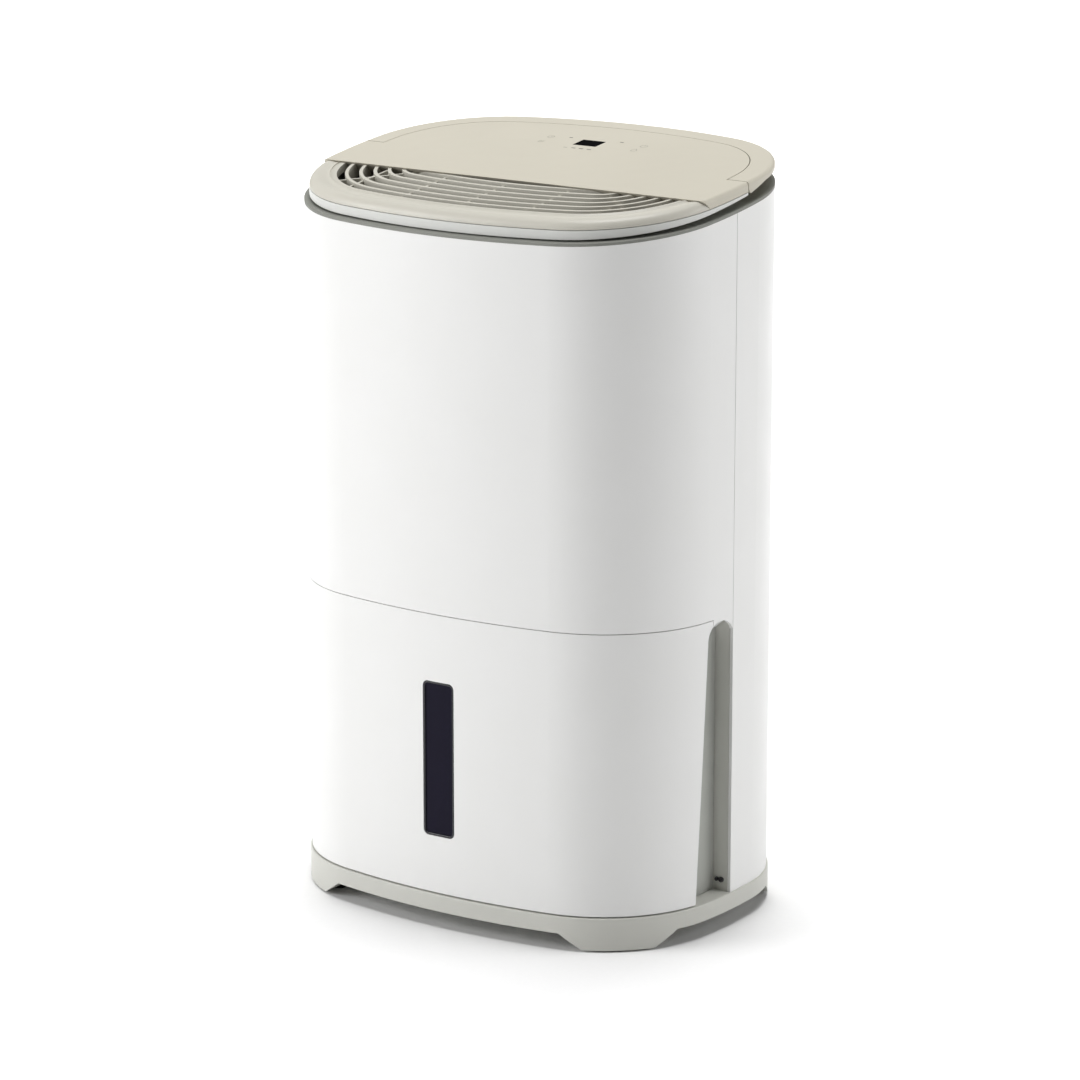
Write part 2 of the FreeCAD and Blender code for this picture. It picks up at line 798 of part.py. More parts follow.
def make_window_lens():
    pane = window_plate(bezel_width, -REACH, -half_depth / 2)
    return pane.common(band(-lens_sink, -casing_wall, base_top, tank_seam))


def tub_block(inset, low, high):
    block = prism(-casing_wall - inset, low, high)
    return block.common(box((-tub_half_width + inset, tub_half_width - inset),
                            (-REACH, cover_seam_y - slide_gap - inset), (low, high)))


def make_water_tank():
    low = base_top + tank_floor_gap
    return tub_block(0, low, tub_top).cut(tub_block(tank_wall, low + tank_wall, tub_top + 1))


def make_tank_lid():
    lid = tub_block(0, tub_top, tub_top + tank_lid_thick)
    lip = tub_block(tank_wall + fit_gap, tub_top - tank_lid_lip, tub_top)
    lip = lip.cut(tub_block(2 * tank_wall + fit_gap, tub_top - tank_lid_lip - 1, tub_top + 1))
    x, y = float_pivot
    ears = []
    for low in (x - float_eye_half - float_ear_gap - float_ear_thick, x + float_eye_half + float_ear_gap):
        ears.append(box((low, low + float_ear_thick), (y - float_ear_half, y + float_ear_half),
                        (float_pivot_z - float_ear_half, tub_top)))
    lid = fuse([lid, lip] + ears)
    lid = lid.cut(rod(float_pin_radius, V(x - CUT / 2, y, float_pivot_z), RIGHT, CUT))
    lid = lid.cut(rod(fill_hole_radius, V(0, drip_y, 0), UP, REACH))
    pour_x = tub_half_width - tank_wall - pour_margin
    return lid.cut(box((-pour_x, -pour_x + pour_hole[0]), (drip_y - pour_hole[1], drip_y), (0, REACH)))


def float_block():
    """Spans of the float's block at the end of its arm."""
    x, y = float_pivot
    far = y - float_arm_length
    top = float_pivot_z + float_arm_half
    return ((x - float_size[0] + float_overhang, x + float_overhang), (far - float_size[1], far),
            (top - float_size[2], top))


def make_float():
    """Float block hanging on its arm, with the pivot eye."""
    x, y = float_pivot
    start = V(x - float_eye_half, y, float_pivot_z)
    eye = rod(float_eye_radius, start, RIGHT, 2 * float_eye_half)
    arm = box((x - float_eye_half, x + float_eye_half), (y - float_arm_length, y),
              (float_pivot_z - float_arm_half, float_pivot_z + float_arm_half))
    body = fuse([eye, arm, box(*float_block())])
    body = body.cut(rod(float_pin_radius + pin_gap, start - RIGHT, RIGHT, 2 * float_eye_half + 2))
    return body.cut(magnet_rod(fit_gap / 3))


def magnet_rod(extra):
    """Magnet let into the top of the float's block."""
    x, y, z = float_block()
    return rod(magnet_radius + extra, V(sum(x) / 2, sum(y) / 2, z[1] - magnet_length), UP, magnet_length)


def make_float_pin():
    x, y = float_pivot
    reach = float_eye_half + float_ear_gap + float_ear_thick
    return rod(float_pin_radius, V(x - reach, y, float_pivot_z), RIGHT, 2 * reach)


# ------------------------------------------------------------------ chassis
def make_bulkhead():
    """Wall between the tank bay and the compressor; its wings are the rear walls of the grip recesses."""
    wall = prism(-casing_wall - fit_gap, base_top, deck_low)
    wall = wall.common(y_range(bulkhead_y, bulkhead_y + bulkhead_thick))
    for place in recess_screw_places():
        wall = wall.cut(rod(screw_shank_radius, place - REAR, REAR, bulkhead_thick + 2))
    return wall


def make_chassis_deck():
    deck = prism(-casing_wall, deck_low, deck_top)
    deck = deck.cut(rod(drip_tube_radius() + fit_gap, V(0, drip_y, 0), UP, REACH))
    for x, y in (discharge_hole, suction_hole):
        deck = deck.cut(rod(2 * pipe_radius, V(x, y, 0), UP, REACH))
    return fuse([deck] + [screw_post(place, deck_low) for place in rear_screw_places()[2:]])


def drip_tube_radius():
    return fill_hole_radius / 2


def make_drain_pan():
    low = deck_top
    pan = box((-pan_half_width, pan_half_width), pan_y, (low, low + pan_height))
    chute = box((-chute_half, chute_half), (drip_y - chute_half, pan_y[0] + pan_wall),
                (low, low + pan_height / 2))
    pan = fuse([pan, chute])
    inner = box((-pan_half_width + pan_wall, pan_half_width - pan_wall),
                (pan_y[0] + pan_wall, pan_y[1] - pan_wall), (low + pan_wall, low + pan_height + 1))
    half = chute_half - pan_wall
    channel = box((-half, half), (drip_y - half, pan_y[0] + 2 * pan_wall),
                  (low + pan_wall, low + pan_height / 2 + 1))
    pan = pan.cut(inner).cut(channel)
    nozzle_low = deck_low - nozzle_drop
    nozzle = rod(drip_tube_radius(), V(0, drip_y, nozzle_low), UP, low + pan_wall - nozzle_low)
    pan = pan.fuse(nozzle)
    pan = pan.cut(rod(drip_tube_radius() - nozzle_wall, V(0, drip_y, nozzle_low - 1), UP, CUT))
    drain = rod(drain_bore_radius, V(drain_x, pan_y[1] - 2 * pan_wall, drain_z), REAR, 3 * pan_wall)
    return pan.cut(drain).removeSplitter()


# ------------------------------------------------------------------ refrigeration
def coil(front_y):
    """Fin pack with a spine and end plates; slots open it front and rear."""
    block = box((-coil_half_width, coil_half_width), (front_y, front_y + coil_depth), (coil_low, coil_high))
    count = int(2 * coil_half_width / fin_pitch)
    spine_low = front_y + (coil_depth - fin_spine) / 2
    slots = []
    for index in range(count):
        x = -coil_half_width + index * fin_pitch + fin_thick
        for y in ((front_y - 1, spine_low), (spine_low + fin_spine, front_y + coil_depth + 1)):
            slots.append(box((x, x + fin_pitch - fin_thick), y, (coil_low - 1, coil_high + 1)))
    return block.cut(Part.makeCompound(slots))


def coil_plates(front_y):
    """Sheet end plates that stand in the drain pan."""
    low = deck_top + pan_wall
    plate = box((coil_half_width, coil_half_width + coil_plate), (front_y, front_y + coil_depth),
                (low, coil_high + coil_plate_rise))
    return [plate, mirrored(plate)]


def coil_bends(front_y):
    """Return bends outside the end plates; the first and last row stay open on the right."""
    bends = []
    y = front_y + coil_depth / 2
    for side, first_row in ((-1, 0), (1, 1)):
        x = side * (coil_half_width + coil_plate)
        for row in range(first_row, coil_rows - 1, 2):
            centre = V(x, y, first_row_z + (row + 0.5) * coil_pitch)
            ring = Part.makeTorus(coil_pitch / 2, coil_tube_radius, centre, REAR)
            outside = box(sorted((x, x + side * 2 * coil_pitch)), (y - coil_pitch, y + coil_pitch),
                          (centre.z - coil_pitch, centre.z + coil_pitch))
            bends.append(ring.common(outside))
    return bends


def compressor_feet():
    """Four mounting points round the compressor."""
    x, y = compressor_at
    angle = math.radians(compressor_foot_angle)
    across = compressor_foot_radius * math.cos(angle)
    along = compressor_foot_radius * math.sin(angle)
    return [(x + i * across, y + j * along) for i in (-1, 1) for j in (-1, 1)]


def plate_low():
    return base_top + grommet_height


def round_ends(can, radius):
    """Round the rims of an upright can."""
    return can.makeFillet(radius, [e for e in can.Edges if e.BoundBox.ZLength < NEAR])


def make_compressor():
    """Hermetic can with a weld seam, on a foot plate with four ears."""
    x, y = compressor_at
    low = plate_low() + compressor_plate
    can = round_ends(rod(compressor_radius, V(x, y, low), UP, compressor_height), compressor_dome)
    weld = rod(compressor_radius + weld_proud, V(x, y, low + weld_share * compressor_height), UP, weld_height)
    plate = rod(compressor_radius - compressor_dome / 2, V(x, y, plate_low()), UP, 2 * compressor_plate)
    ears = []
    for foot_x, foot_y in compressor_feet():
        run = V(foot_x - x, foot_y - y, 0)
        arm = Part.makeBox(run.Length, 2 * ear_radius, compressor_plate, V(0, -ear_radius, plate_low()))
        arm.rotate(V(0, 0, 0), UP, math.degrees(math.atan2(run.y, run.x)))
        arm.translate(V(x, y, 0))
        ears += [arm, rod(ear_radius, V(foot_x, foot_y, plate_low()), UP, compressor_plate)]
    body = fuse([can, weld, plate] + ears)
    for foot_x, foot_y in compressor_feet():
        body = body.cut(rod(grommet_neck, V(foot_x, foot_y, base_top), UP, grommet_height + compressor_plate))
    return body


def make_compressor_grommets():
    """Rubber bushes under and through the compressor's feet."""
    bushes = []
    for x, y in compressor_feet():
        low = rod(grommet_low_radius, V(x, y, base_top), UP, grommet_height)
        neck = rod(grommet_neck, V(x, y, base_top), UP, grommet_height + compressor_plate)
        head = rod(grommet_head_radius, V(x, y, plate_low() + compressor_plate), UP, grommet_head)
        bush = fuse([low, neck, head])
        bushes.append(bush.cut(rod(screw_shank_radius, V(x, y, base_top - 1), UP, REACH)))
    return bushes


def make_compressor_bolts():
    top = plate_low() + compressor_plate + grommet_head
    low = base_top - base_deck
    bolts = []
    for x, y in compressor_feet():
        shank = rod(screw_shank_radius, V(x, y, low), UP, top - low)
        bolts.append(shank.fuse(rod(bolt_head, V(x, y, top), UP, bolt_head_height)))
    return bolts


def make_terminal_cover():
    """Cover over the compressor's electrical pins, on its left side."""
    x, y = compressor_at
    middle = plate_low() + terminal_height
    cover = box((x - compressor_radius - terminal_reach, x), (y - terminal_half, y + terminal_half),
                (middle - terminal_half, middle + terminal_half))
    return cover.cut(rod(compressor_radius + fit_gap, V(x, y, 0), UP, REACH))


def make_accumulator():
    x, y = accumulator_at
    can = rod(accumulator_radius, V(x, y, base_top + accumulator_lift), UP, accumulator_height)
    return round_ends(can, accumulator_round)


def make_accumulator_bracket():
    """Strap on a foot that carries the accumulator from the base."""
    x, y = accumulator_at
    back = y + accumulator_radius
    post = box((x - bracket_half, x + bracket_half), (back, back + bracket_thick),
               (base_top, base_top + accumulator_lift + accumulator_height / 2))
    foot = box((x - 2 * bracket_half, x + 2 * bracket_half), (back - bracket_foot, back + bracket_thick),
               (base_top, base_top + bracket_thick))
    return fuse([post, foot])


def make_discharge_pipe():
    """From the top of the compressor, through the deck, to the condenser's lowest row."""
    x, y = compressor_at
    hole_x, hole_y = discharge_hole
    top = plate_low() + compressor_plate + compressor_height
    cross_z = top + 2 * pipe_bend
    points = [V(x, hole_y + 2 * pipe_bend, top), V(x, hole_y + 2 * pipe_bend, cross_z),
              V(x, hole_y, cross_z), V(hole_x, hole_y, cross_z), V(hole_x, hole_y, first_row_z),
              V(discharge_x, hole_y, first_row_z), V(discharge_x, condenser_tubes_y, first_row_z),
              V(coil_half_width + coil_plate, condenser_tubes_y, first_row_z)]
    return bent_pipe(points, pipe_radius, pipe_bend)


def make_suction_pipe():
    """From the evaporator's lowest row, down through the deck, to the accumulator."""
    x, y = accumulator_at
    hole_x, hole_y = suction_hole
    cross_z = base_top + accumulator_lift + accumulator_height + 2 * pipe_bend
    run_z = deck_top + suction_run_height
    points = [V(x, y, cross_z - 2 * pipe_bend), V(x, y, cross_z), V(hole_x, y, cross_z),
              V(hole_x, hole_y, cross_z), V(hole_x, hole_y, run_z), V(suction_x, hole_y, run_z),
              V(suction_x, evaporator_tubes_y, run_z), V(suction_x, evaporator_tubes_y, first_row_z),
              V(coil_half_width + coil_plate, evaporator_tubes_y, first_row_z)]
    return bent_pipe(points, pipe_radius, pipe_bend)


def make_filter_drier():
    """Drier can hung on the liquid line from the condenser's last row."""
    low, high = drier_span
    at = V(drier_x, condenser_tubes_y, low)
    can = round_ends(rod(drier_radius, at, UP, high - low), drier_radius / 2)
    line = bent_pipe([V(coil_half_width + coil_plate, at.y, last_row_z), V(drier_x, at.y, last_row_z),
                      V(drier_x, at.y, high - 1)], liquid_line_radius, pipe_bend)
    return can.fuse(line).removeSplitter()


def make_capillary_tube():
    """Thin tube wound round the drier, from its foot to the evaporator's last row."""
    low = drier_span[0] - capillary_pitch
    centre = V(drier_x, condenser_tubes_y, low)
    helix = Part.makeHelix(capillary_pitch, capillary_pitch * capillary_turns, capillary_coil_radius)
    section = Part.Wire(Part.Circle(V(capillary_coil_radius, 0, 0), REAR, capillary_radius).toShape())
    wound = Part.Wire(helix.Edges).makePipeShell([section], True, True)
    wound.translate(centre)
    start = centre + RIGHT * capillary_coil_radius
    end = start + UP * capillary_pitch * capillary_turns
    feed = [rod(capillary_radius, centre, RIGHT, capillary_coil_radius),
            rod(capillary_radius, centre, UP, capillary_pitch + 1),
            Part.makeSphere(capillary_radius, centre), Part.makeSphere(capillary_radius, start)]
    leave = bent_pipe([end, V(end.x, end.y, last_row_z), V(end.x, evaporator_tubes_y, last_row_z),
                       V(coil_half_width + coil_plate, evaporator_tubes_y, last_row_z)],
                      capillary_radius, pipe_bend)
    return fuse([wound, leave, Part.makeSphere(capillary_radius, end)] + feed)


# ------------------------------------------------------------------ fan
def make_fan_wheel():
    centre = V(0, 0, fan_height)
    back = rod(fan_radius, centre + REAR * fan_front_y, REAR, wheel_plate)
    hub = rod(hub_radius, centre + REAR * fan_front_y, REAR, hub_length)
    ring = tube(fan_radius, fan_radius - fan_ring, centre + REAR * (fan_rear_y - ring_depth), REAR,
                ring_depth)
    blades = []
    for index in range(blade_count):
        blade = Part.makeBox(blade_length, fan_width, blade_thick,
                             V(fan_radius - blade_length - blade_inset, fan_front_y, -blade_thick / 2))
        blade.rotate(V(fan_radius - blade_length, 0, 0), REAR, blade_tilt)
        blade = blade.common(rod(fan_radius, V(0, fan_front_y, 0), REAR, fan_width))
        blade.rotate(V(0, 0, 0), REAR, index * 360.0 / blade_count)
        blade.translate(centre)
        blades.append(blade)
    wheel = fuse([back, hub, ring] + blades)
    return wheel.cut(rod(shaft_radius, centre + REAR * (fan_front_y - 1), REAR, fan_width))


def make_motor_shaft():
    start = V(0, motor_rear_y - motor_length + motor_end_wall + shaft_end_gap, fan_height)
    return rod(shaft_radius, start, REAR, fan_front_y + hub_length - start.y)


def make_fan_motor():
    front = motor_rear_y - motor_length
    centre = V(0, front, fan_height)
    can = rod(motor_radius, centre, REAR, motor_length)
    can = can.makeFillet(motor_round, [e for e in can.Edges if e.BoundBox.YMax < front + NEAR])
    return can.cut(rod(shaft_radius + pin_gap, centre + REAR * motor_end_wall, REAR, motor_length))


def scroll_solid(inset, y_low, y_high):
    """Round chamber with a straight outlet rising on the right."""
    round_part = rod(scroll_radius - inset, V(0, y_low, fan_height), REAR, y_high - y_low)
    outlet = box((-scroll_throat + inset, scroll_radius - inset), (y_low, y_high),
                 (fan_height, scroll_top + (0 if inset == 0 else 1)))
    return round_part.fuse(outlet).removeSplitter()


def scroll_span():
    return (motor_rear_y, fan_rear_y + scroll_gap + scroll_wall)


def make_fan_housing():
    y_low, y_high = scroll_span()
    shell = scroll_solid(0, y_low, y_high)
    shell = shell.cut(scroll_solid(scroll_wall, y_low + scroll_wall, y_high - scroll_wall))
    shell = shell.cut(rod(inlet_radius, V(0, y_high - scroll_wall - 1, fan_height), REAR, scroll_wall + 2))
    shell = shell.cut(rod(hub_radius, V(0, y_low - 1, fan_height), REAR, scroll_wall + 2))
    stand = box((-stand_half, stand_half), (y_low, y_high),
                (deck_top, fan_height - scroll_radius + stand_overlap))
    stand = stand.cut(box((-stand_half + scroll_wall, stand_half - scroll_wall), (y_low - 1, y_high + 1),
                          (deck_top - 1, fan_height)))
    stand = stand.cut(rod(scroll_radius - scroll_wall / 2, V(0, y_low - 1, fan_height), REAR, REACH))
    stand = stand.cut(box((-stand_slot_half, stand_slot_half), (y_low - 1, y_high + 1),
                          (deck_top - 1, REACH)))
    return fuse([shell, stand])


def rectangle(x, y, z):
    return Part.makePolygon([V(x[0], y[0], z), V(x[1], y[0], z), V(x[1], y[1], z), V(x[0], y[1], z),
                             V(x[0], y[0], z)])


def duct_solid(inset, extra):
    y_low, y_high = scroll_span()
    low = rectangle((-scroll_throat + inset, scroll_radius - inset), (y_low + inset, y_high - inset),
                    scroll_top - extra)
    field_front = -half_depth + louvre_first - duct_front_margin
    high = rectangle((-duct_half_width + inset, duct_half_width - inset),
                     (field_front + inset, lid_front_y + duct_rear_margin - inset), duct_top + extra)
    return Part.makeLoft([low, high], True, True)


def make_outlet_duct():
    return duct_solid(0, 0).cut(duct_solid(duct_wall, NEAR))


# ------------------------------------------------------------------ electrics
def make_electrics_box():
    x = (scroll_radius + electrics_gap, scroll_radius + electrics_gap + electrics_size[0])
    y = (electrics_front_y, electrics_front_y + electrics_size[1])
    z = (deck_top, deck_top + electrics_size[2])
    case = box(x, y, z)
    return case.cut(box((x[0] + box_wall, x[1] - box_wall), (y[0] + box_wall, y[1] - box_wall),
                        (z[0] + box_wall, z[1] + 1)))


def make_power_board():
    """Board standing on its edge against the box's wall, with a choke and a relay."""
    x = scroll_radius + electrics_gap + box_wall
    middle = electrics_front_y + electrics_size[1] / 2
    y = (middle - power_board_length / 2, middle + power_board_length / 2)
    low = deck_top + box_wall
    parts = [box((x, x + board_thick), y, (low, low + power_board_height))]
    front = x + board_thick
    for size, start, lift in ((coil_block_size, y[0] + board_post_inset, coil_block_lift),
                              (relay_size, middle + board_post_inset, relay_lift)):
        parts.append(box((front, front + size[0]), (start, start + size[1]),
                         (deck_top + lift, deck_top + lift + size[2])))
    return fuse(parts)


def make_run_capacitor():
    """Upright can with two flat tabs on its top."""
    at = V(-scroll_radius - capacitor_gap, capacitor_y, deck_top)
    can = rod(capacitor_radius, at, UP, capacitor_height)
    top = deck_top + capacitor_height
    can = can.makeFillet(capacitor_round, [e for e in can.Edges if e.BoundBox.ZMin > top - MERGE])
    half_thick = tab_size[0] / 2
    half_wide = tab_size[1] / 2
    tabs = [box((at.x + side - half_thick, at.x + side + half_thick), (at.y - half_wide, at.y + half_wide),
                (top - 1, top - 1 + tab_size[2])) for side in (-tab_spread, tab_spread)]
    return fuse([can] + tabs)


def make_control_board():
    """Display board hung under the lid on four posts, with the display's lamp module."""
    under = lid_height - lid_thick
    face = under - board_drop
    half_x, half_y = board_size[0] / 2, board_size[1] / 2
    board = sloped_block((-half_x, half_x), (display_y - half_y, display_y + half_y),
                         (face - board_thick, face))
    module = sloped_block((-display_size[0] / 2, display_size[0] / 2),
                          (display_y - display_size[1] / 2, display_y + display_size[1] / 2), (face, under))
    post_x = half_x - board_post_inset
    post_y = half_y - board_post_inset
    layer = slope_layer(face, under)
    posts = [rod(board_post_radius, V(x, display_y + y, 0), UP, 2 * rim_height).common(layer)
             for x in (-post_x, post_x) for y in (-post_y, post_y)]
    return fuse([board, module] + posts)


def make_tank_switch():
    """Reed switch over the float's magnet, fixed under the deck."""
    x, y = [sum(span) / 2 for span in float_block()[:2]]
    half_x = tank_switch_size[0] / 2
    half_y = tank_switch_size[1] / 2
    return box((x - half_x, x + half_x), (y - half_y, y + half_y), (deck_low - tank_switch_size[2], deck_low))


def make_humidity_sensor():
    """Sensor bulb on a thin stand in the incoming air."""
    y = evaporator_y - 2 * sensor_half[1]
    top = deck_top + sensor_height
    stand = box((sensor_x - sensor_stand_half, sensor_x + sensor_stand_half),
                (y - sensor_half[1], y + sensor_half[1]), (deck_top, top))
    bulb = box((sensor_x - sensor_half[0], sensor_x + sensor_half[0]),
               (y - sensor_bulb[0] / 2, y + sensor_bulb[0] / 2), (top, top + sensor_bulb[1]))
    return fuse([stand, bulb])


# ------------------------------------------------------------------ rear fittings
def make_cable_gland():
    x, z = gland_at
    start = V(x, rear_wall_y(x) - gland_inside, z)
    length = gland_inside + gland_outside
    collar = rod(gland_radius, start, REAR, length)
    tip = start.y + length
    collar = collar.makeFillet(gland_round, [e for e in collar.Edges if e.BoundBox.YMin > tip - NEAR])
    neck = rod(gland_neck, start, REAR, gland_inside + gland_outside / 2)
    gland = collar.cut(prism(0.0, 0, rim_height)).fuse(neck)
    return gland.cut(rod(gland_bore, start - REAR, REAR, length + 2)).removeSplitter()


def drain_tip_y():
    return rear_wall_y(abs(drain_x)) + drain_reach


def make_drain_port():
    """Spigot from the drain pan out through the rear cover."""
    start = V(drain_x, pan_y[1], drain_z)
    return tube(drain_tube_radius, drain_bore_radius, start, REAR, drain_tip_y() - pan_y[1])


def make_drain_cap():
    bore = drain_tube_radius + pin_gap
    length = cap_grip
    start = V(drain_x, drain_tip_y() - length, drain_z)
    cap = rod(bore + cap_wall, start, REAR, length + cap_wall)
    end = drain_tip_y() + cap_wall
    cap = cap.makeFillet(cap_round, [e for e in cap.Edges if e.BoundBox.YMin > end - NEAR])
    return cap.cut(rod(bore, start - REAR, REAR, length + 1))


# ------------------------------------------------------------------ top assembly
def make_neck_ring():
    """Flange on the casing rim with the upright neck that carries the top."""
    low = flange_thick / 2
    flange = band(0, -grip_neck_inset - neck_wall, 0, 2 * rim_height).common(slope_layer(0, flange_thick))
    front = top_band(-neck_inset, -neck_inset - neck_wall, low, parting_height)
    rear = top_band(-grip_neck_inset, -grip_neck_inset - neck_wall, low, parting_height)
    step = top_band(-neck_inset, -grip_neck_inset - neck_wall, low, parting_height)
    return fuse([flange, front.common(y_range(-REACH, handle_front_y)),
                 rear.common(y_range(handle_front_y - neck_wall, REACH)),
                 step.common(y_range(handle_front_y - neck_wall, handle_front_y))])


def collar_low(y):
    """The collar's lower edge rises towards the rear."""
    return collar_low_front + collar_rise * (y + half_depth)


def make_collar():
    """Band under the outlet ring and the lid's sides: outer wall, floor and closed rear ends."""
    front = -half_depth - top_inset
    high = parting_height - parting_gap
    ring = top_band(-top_inset, -neck_inset, 0, high)
    ring = ring.common(sloped([(front, collar_low(front)), (handle_front_y, collar_low(handle_front_y)),
                               (handle_front_y, high + 1), (front, high + 1)]))
    hollow = top_band(-top_inset - collar_wall, -neck_inset, 0, high + 1)
    rear = handle_front_y - collar_wall
    floor = collar_wall / 2
    hollow = hollow.common(sloped([(front, collar_low(front) + floor), (rear, collar_low(rear) + floor),
                                   (rear, high + 2), (front, high + 2)]))
    return ring.cut(hollow)


def sloped_wire(offset, height):
    """Outline of the top pieces, lying parallel to the rim."""
    lift = FreeCAD.Matrix()
    lift.A32 = top_slope
    lift.A34 = rim_height + height
    return outline_wire(offset, 0.0, top_setback).transformGeometry(lift)


def ring_shoulder():
    """Rounded shoulder of the outlet ring, from the parting line up to the lid's level."""
    rise = lid_height - shoulder_drop - parting_height
    sections = [sloped_wire(-top_inset - inward, parting_height + rise * up)
                for inward, up in shoulder_profile + ((ring_width, 1.0),)]
    return Part.makeLoft(sections, True, False)


def louvre(offset):
    top = lid_height - field_sink
    return top_band(-offset + louvre_thick / 2, -offset - louvre_thick / 2, top - louvre_depth, top)


def cross_ribs():
    """Stiffening webs under the louvres, square to the front and radial in the corners."""
    top = lid_height - field_sink - cross_rib_drop
    span = (-half_depth, lid_front_y + louvre_depth)
    ribs = []
    for x in cross_rib_x:
        rib = sloped_block((x - cross_rib_thick / 2, x + cross_rib_thick / 2), span,
                           (top - cross_rib_depth, top))
        ribs += [rib, mirrored(rib)] if x else [rib]
    web = Part.makeBox(front_corner_radius, cross_rib_thick, 2 * rim_height, V(0, -cross_rib_thick / 2, 0))
    web.rotate(V(0, 0, 0), UP, corner_rib_angle)
    web.translate(V(half_width - front_corner_radius, lid_front_y + louvre_depth, 0))
    web = web.common(slope_layer(top - cross_rib_depth, top))
    ribs += [web, mirrored(web)]
    last = louvre_first + louvre_pitch * (louvre_count - 1)
    field = top_band(-top_inset - ring_width, -last, 0, lid_height)
    return [rib.common(field) for rib in ribs]


def make_outlet_grille():
    """Outlet ring with its sunk field of curved louvres, one moulding."""
    inner = top_inset + ring_width
    top = lid_height - field_sink
    ring = ring_shoulder().cut(top_prism(-inner, 0, CUT))
    margin = top_band(-inner + 1.0, -inner - field_margin, parting_height, top)
    louvres = [louvre(louvre_first + index * louvre_pitch) for index in range(louvre_count)]
    grille = fuse([ring, margin] + louvres + cross_ribs())
    return grille.cut(behind_lid_joint(-seam_gap / 2))


def handle_inner():
    """Inset of the lid's edge that the folded handle lies round."""
    return top_inset + handle_width + handle_side_gap


def make_top_panel():
    """Lid: flat plate with side skirts, a lip behind the louvres and a ledge round the handle."""
    under = lid_height - lid_thick
    blank = top_prism(-top_inset, parting_height, lid_height)
    blank = blank.makeFillet(lid_edge_round, outer_top_edges(blank, lid_height, -top_inset))
    blank = blank.cut(top_prism(-top_inset - lid_thick, parting_height - 1, under))
    blank = blank.common(behind_lid_joint(seam_gap / 2))
    handle_space = top_band(1.0, -handle_inner(), 0, 2 * lid_height).common(y_range(handle_front_y, REACH))
    gap = seam_gap / 2
    lip = sloped([(lid_joint_y(lip_low_height) + gap, lip_low_height), (lid_joint_y(under) + gap, under),
                  (lid_joint_y(under) + gap + lip_thick, under),
                  (lid_joint_y(lip_low_height) + gap + lip_thick, lip_low_height)])
    lip = lip.common(top_prism(-neck_inset - neck_wall - fit_gap, -lid_height, lid_height))
    ledge = top_band(-handle_inner(), -grip_neck_inset - neck_wall, parting_height, under)
    ledge = ledge.common(y_range(handle_front_y - lid_thick, REACH))
    end_wall = top_band(-top_inset - 1.0, -grip_neck_inset, parting_height, lid_height - 1.0)
    end_wall = end_wall.common(y_range(handle_front_y - lid_thick, handle_front_y))
    panel = fuse([blank.cut(handle_space), lip, ledge, end_wall])
    panel = panel.cut(display_block(fit_gap / 3, display_depth, lid_height))
    return panel.cut(handle_pin_rod(0.0, handle_pin_in_lid, 0.0))


def display_block(extra, depth, height):
    """Block at the display's place, from its depth in the lid up to the lid's top or past it."""
    x = display_size[0] / 2 + extra
    y = display_size[1] / 2 + extra
    return sloped_block((-x, x), (display_y - y, display_y + y), (lid_height - depth, lid_height + height))


def make_display_window():
    return display_block(0.0, display_depth, 0.0)


def arm_inner_x():
    """Inner face of the handle's arm at the pivot."""
    radius = side_radius - top_inset - handle_width
    rise = handle_pivot_y - side_centre_y - top_setback
    return half_width - side_radius + math.sqrt(radius ** 2 - rise ** 2)


def handle_pin_rod(extra, inward, trim):
    """Pivot pins on both sides: from inside the lid's ledge out into the arms."""
    start = arm_inner_x() - inward
    pin = rod(handle_pin_radius + extra, V(start, handle_pivot_y, handle_pivot_z), RIGHT,
              inward + handle_pin_in_arm - trim)
    return both_sides(pin)


def make_handle_pins():
    return handle_pin_rod(0.0, handle_pin_in_lid, 1.0).Solids


def make_carry_handle():
    """U-shaped handle folded flat round the rear of the lid."""
    bar = top_band(-top_inset, -top_inset - handle_width, 0, lid_height)
    bar = bar.makeFillet(lid_edge_round, outer_top_edges(bar, lid_height, -top_inset))
    bar = bar.common(handle_region())
    return bar.cut(handle_pin_rod(pin_gap, handle_width / 2, 0.0))


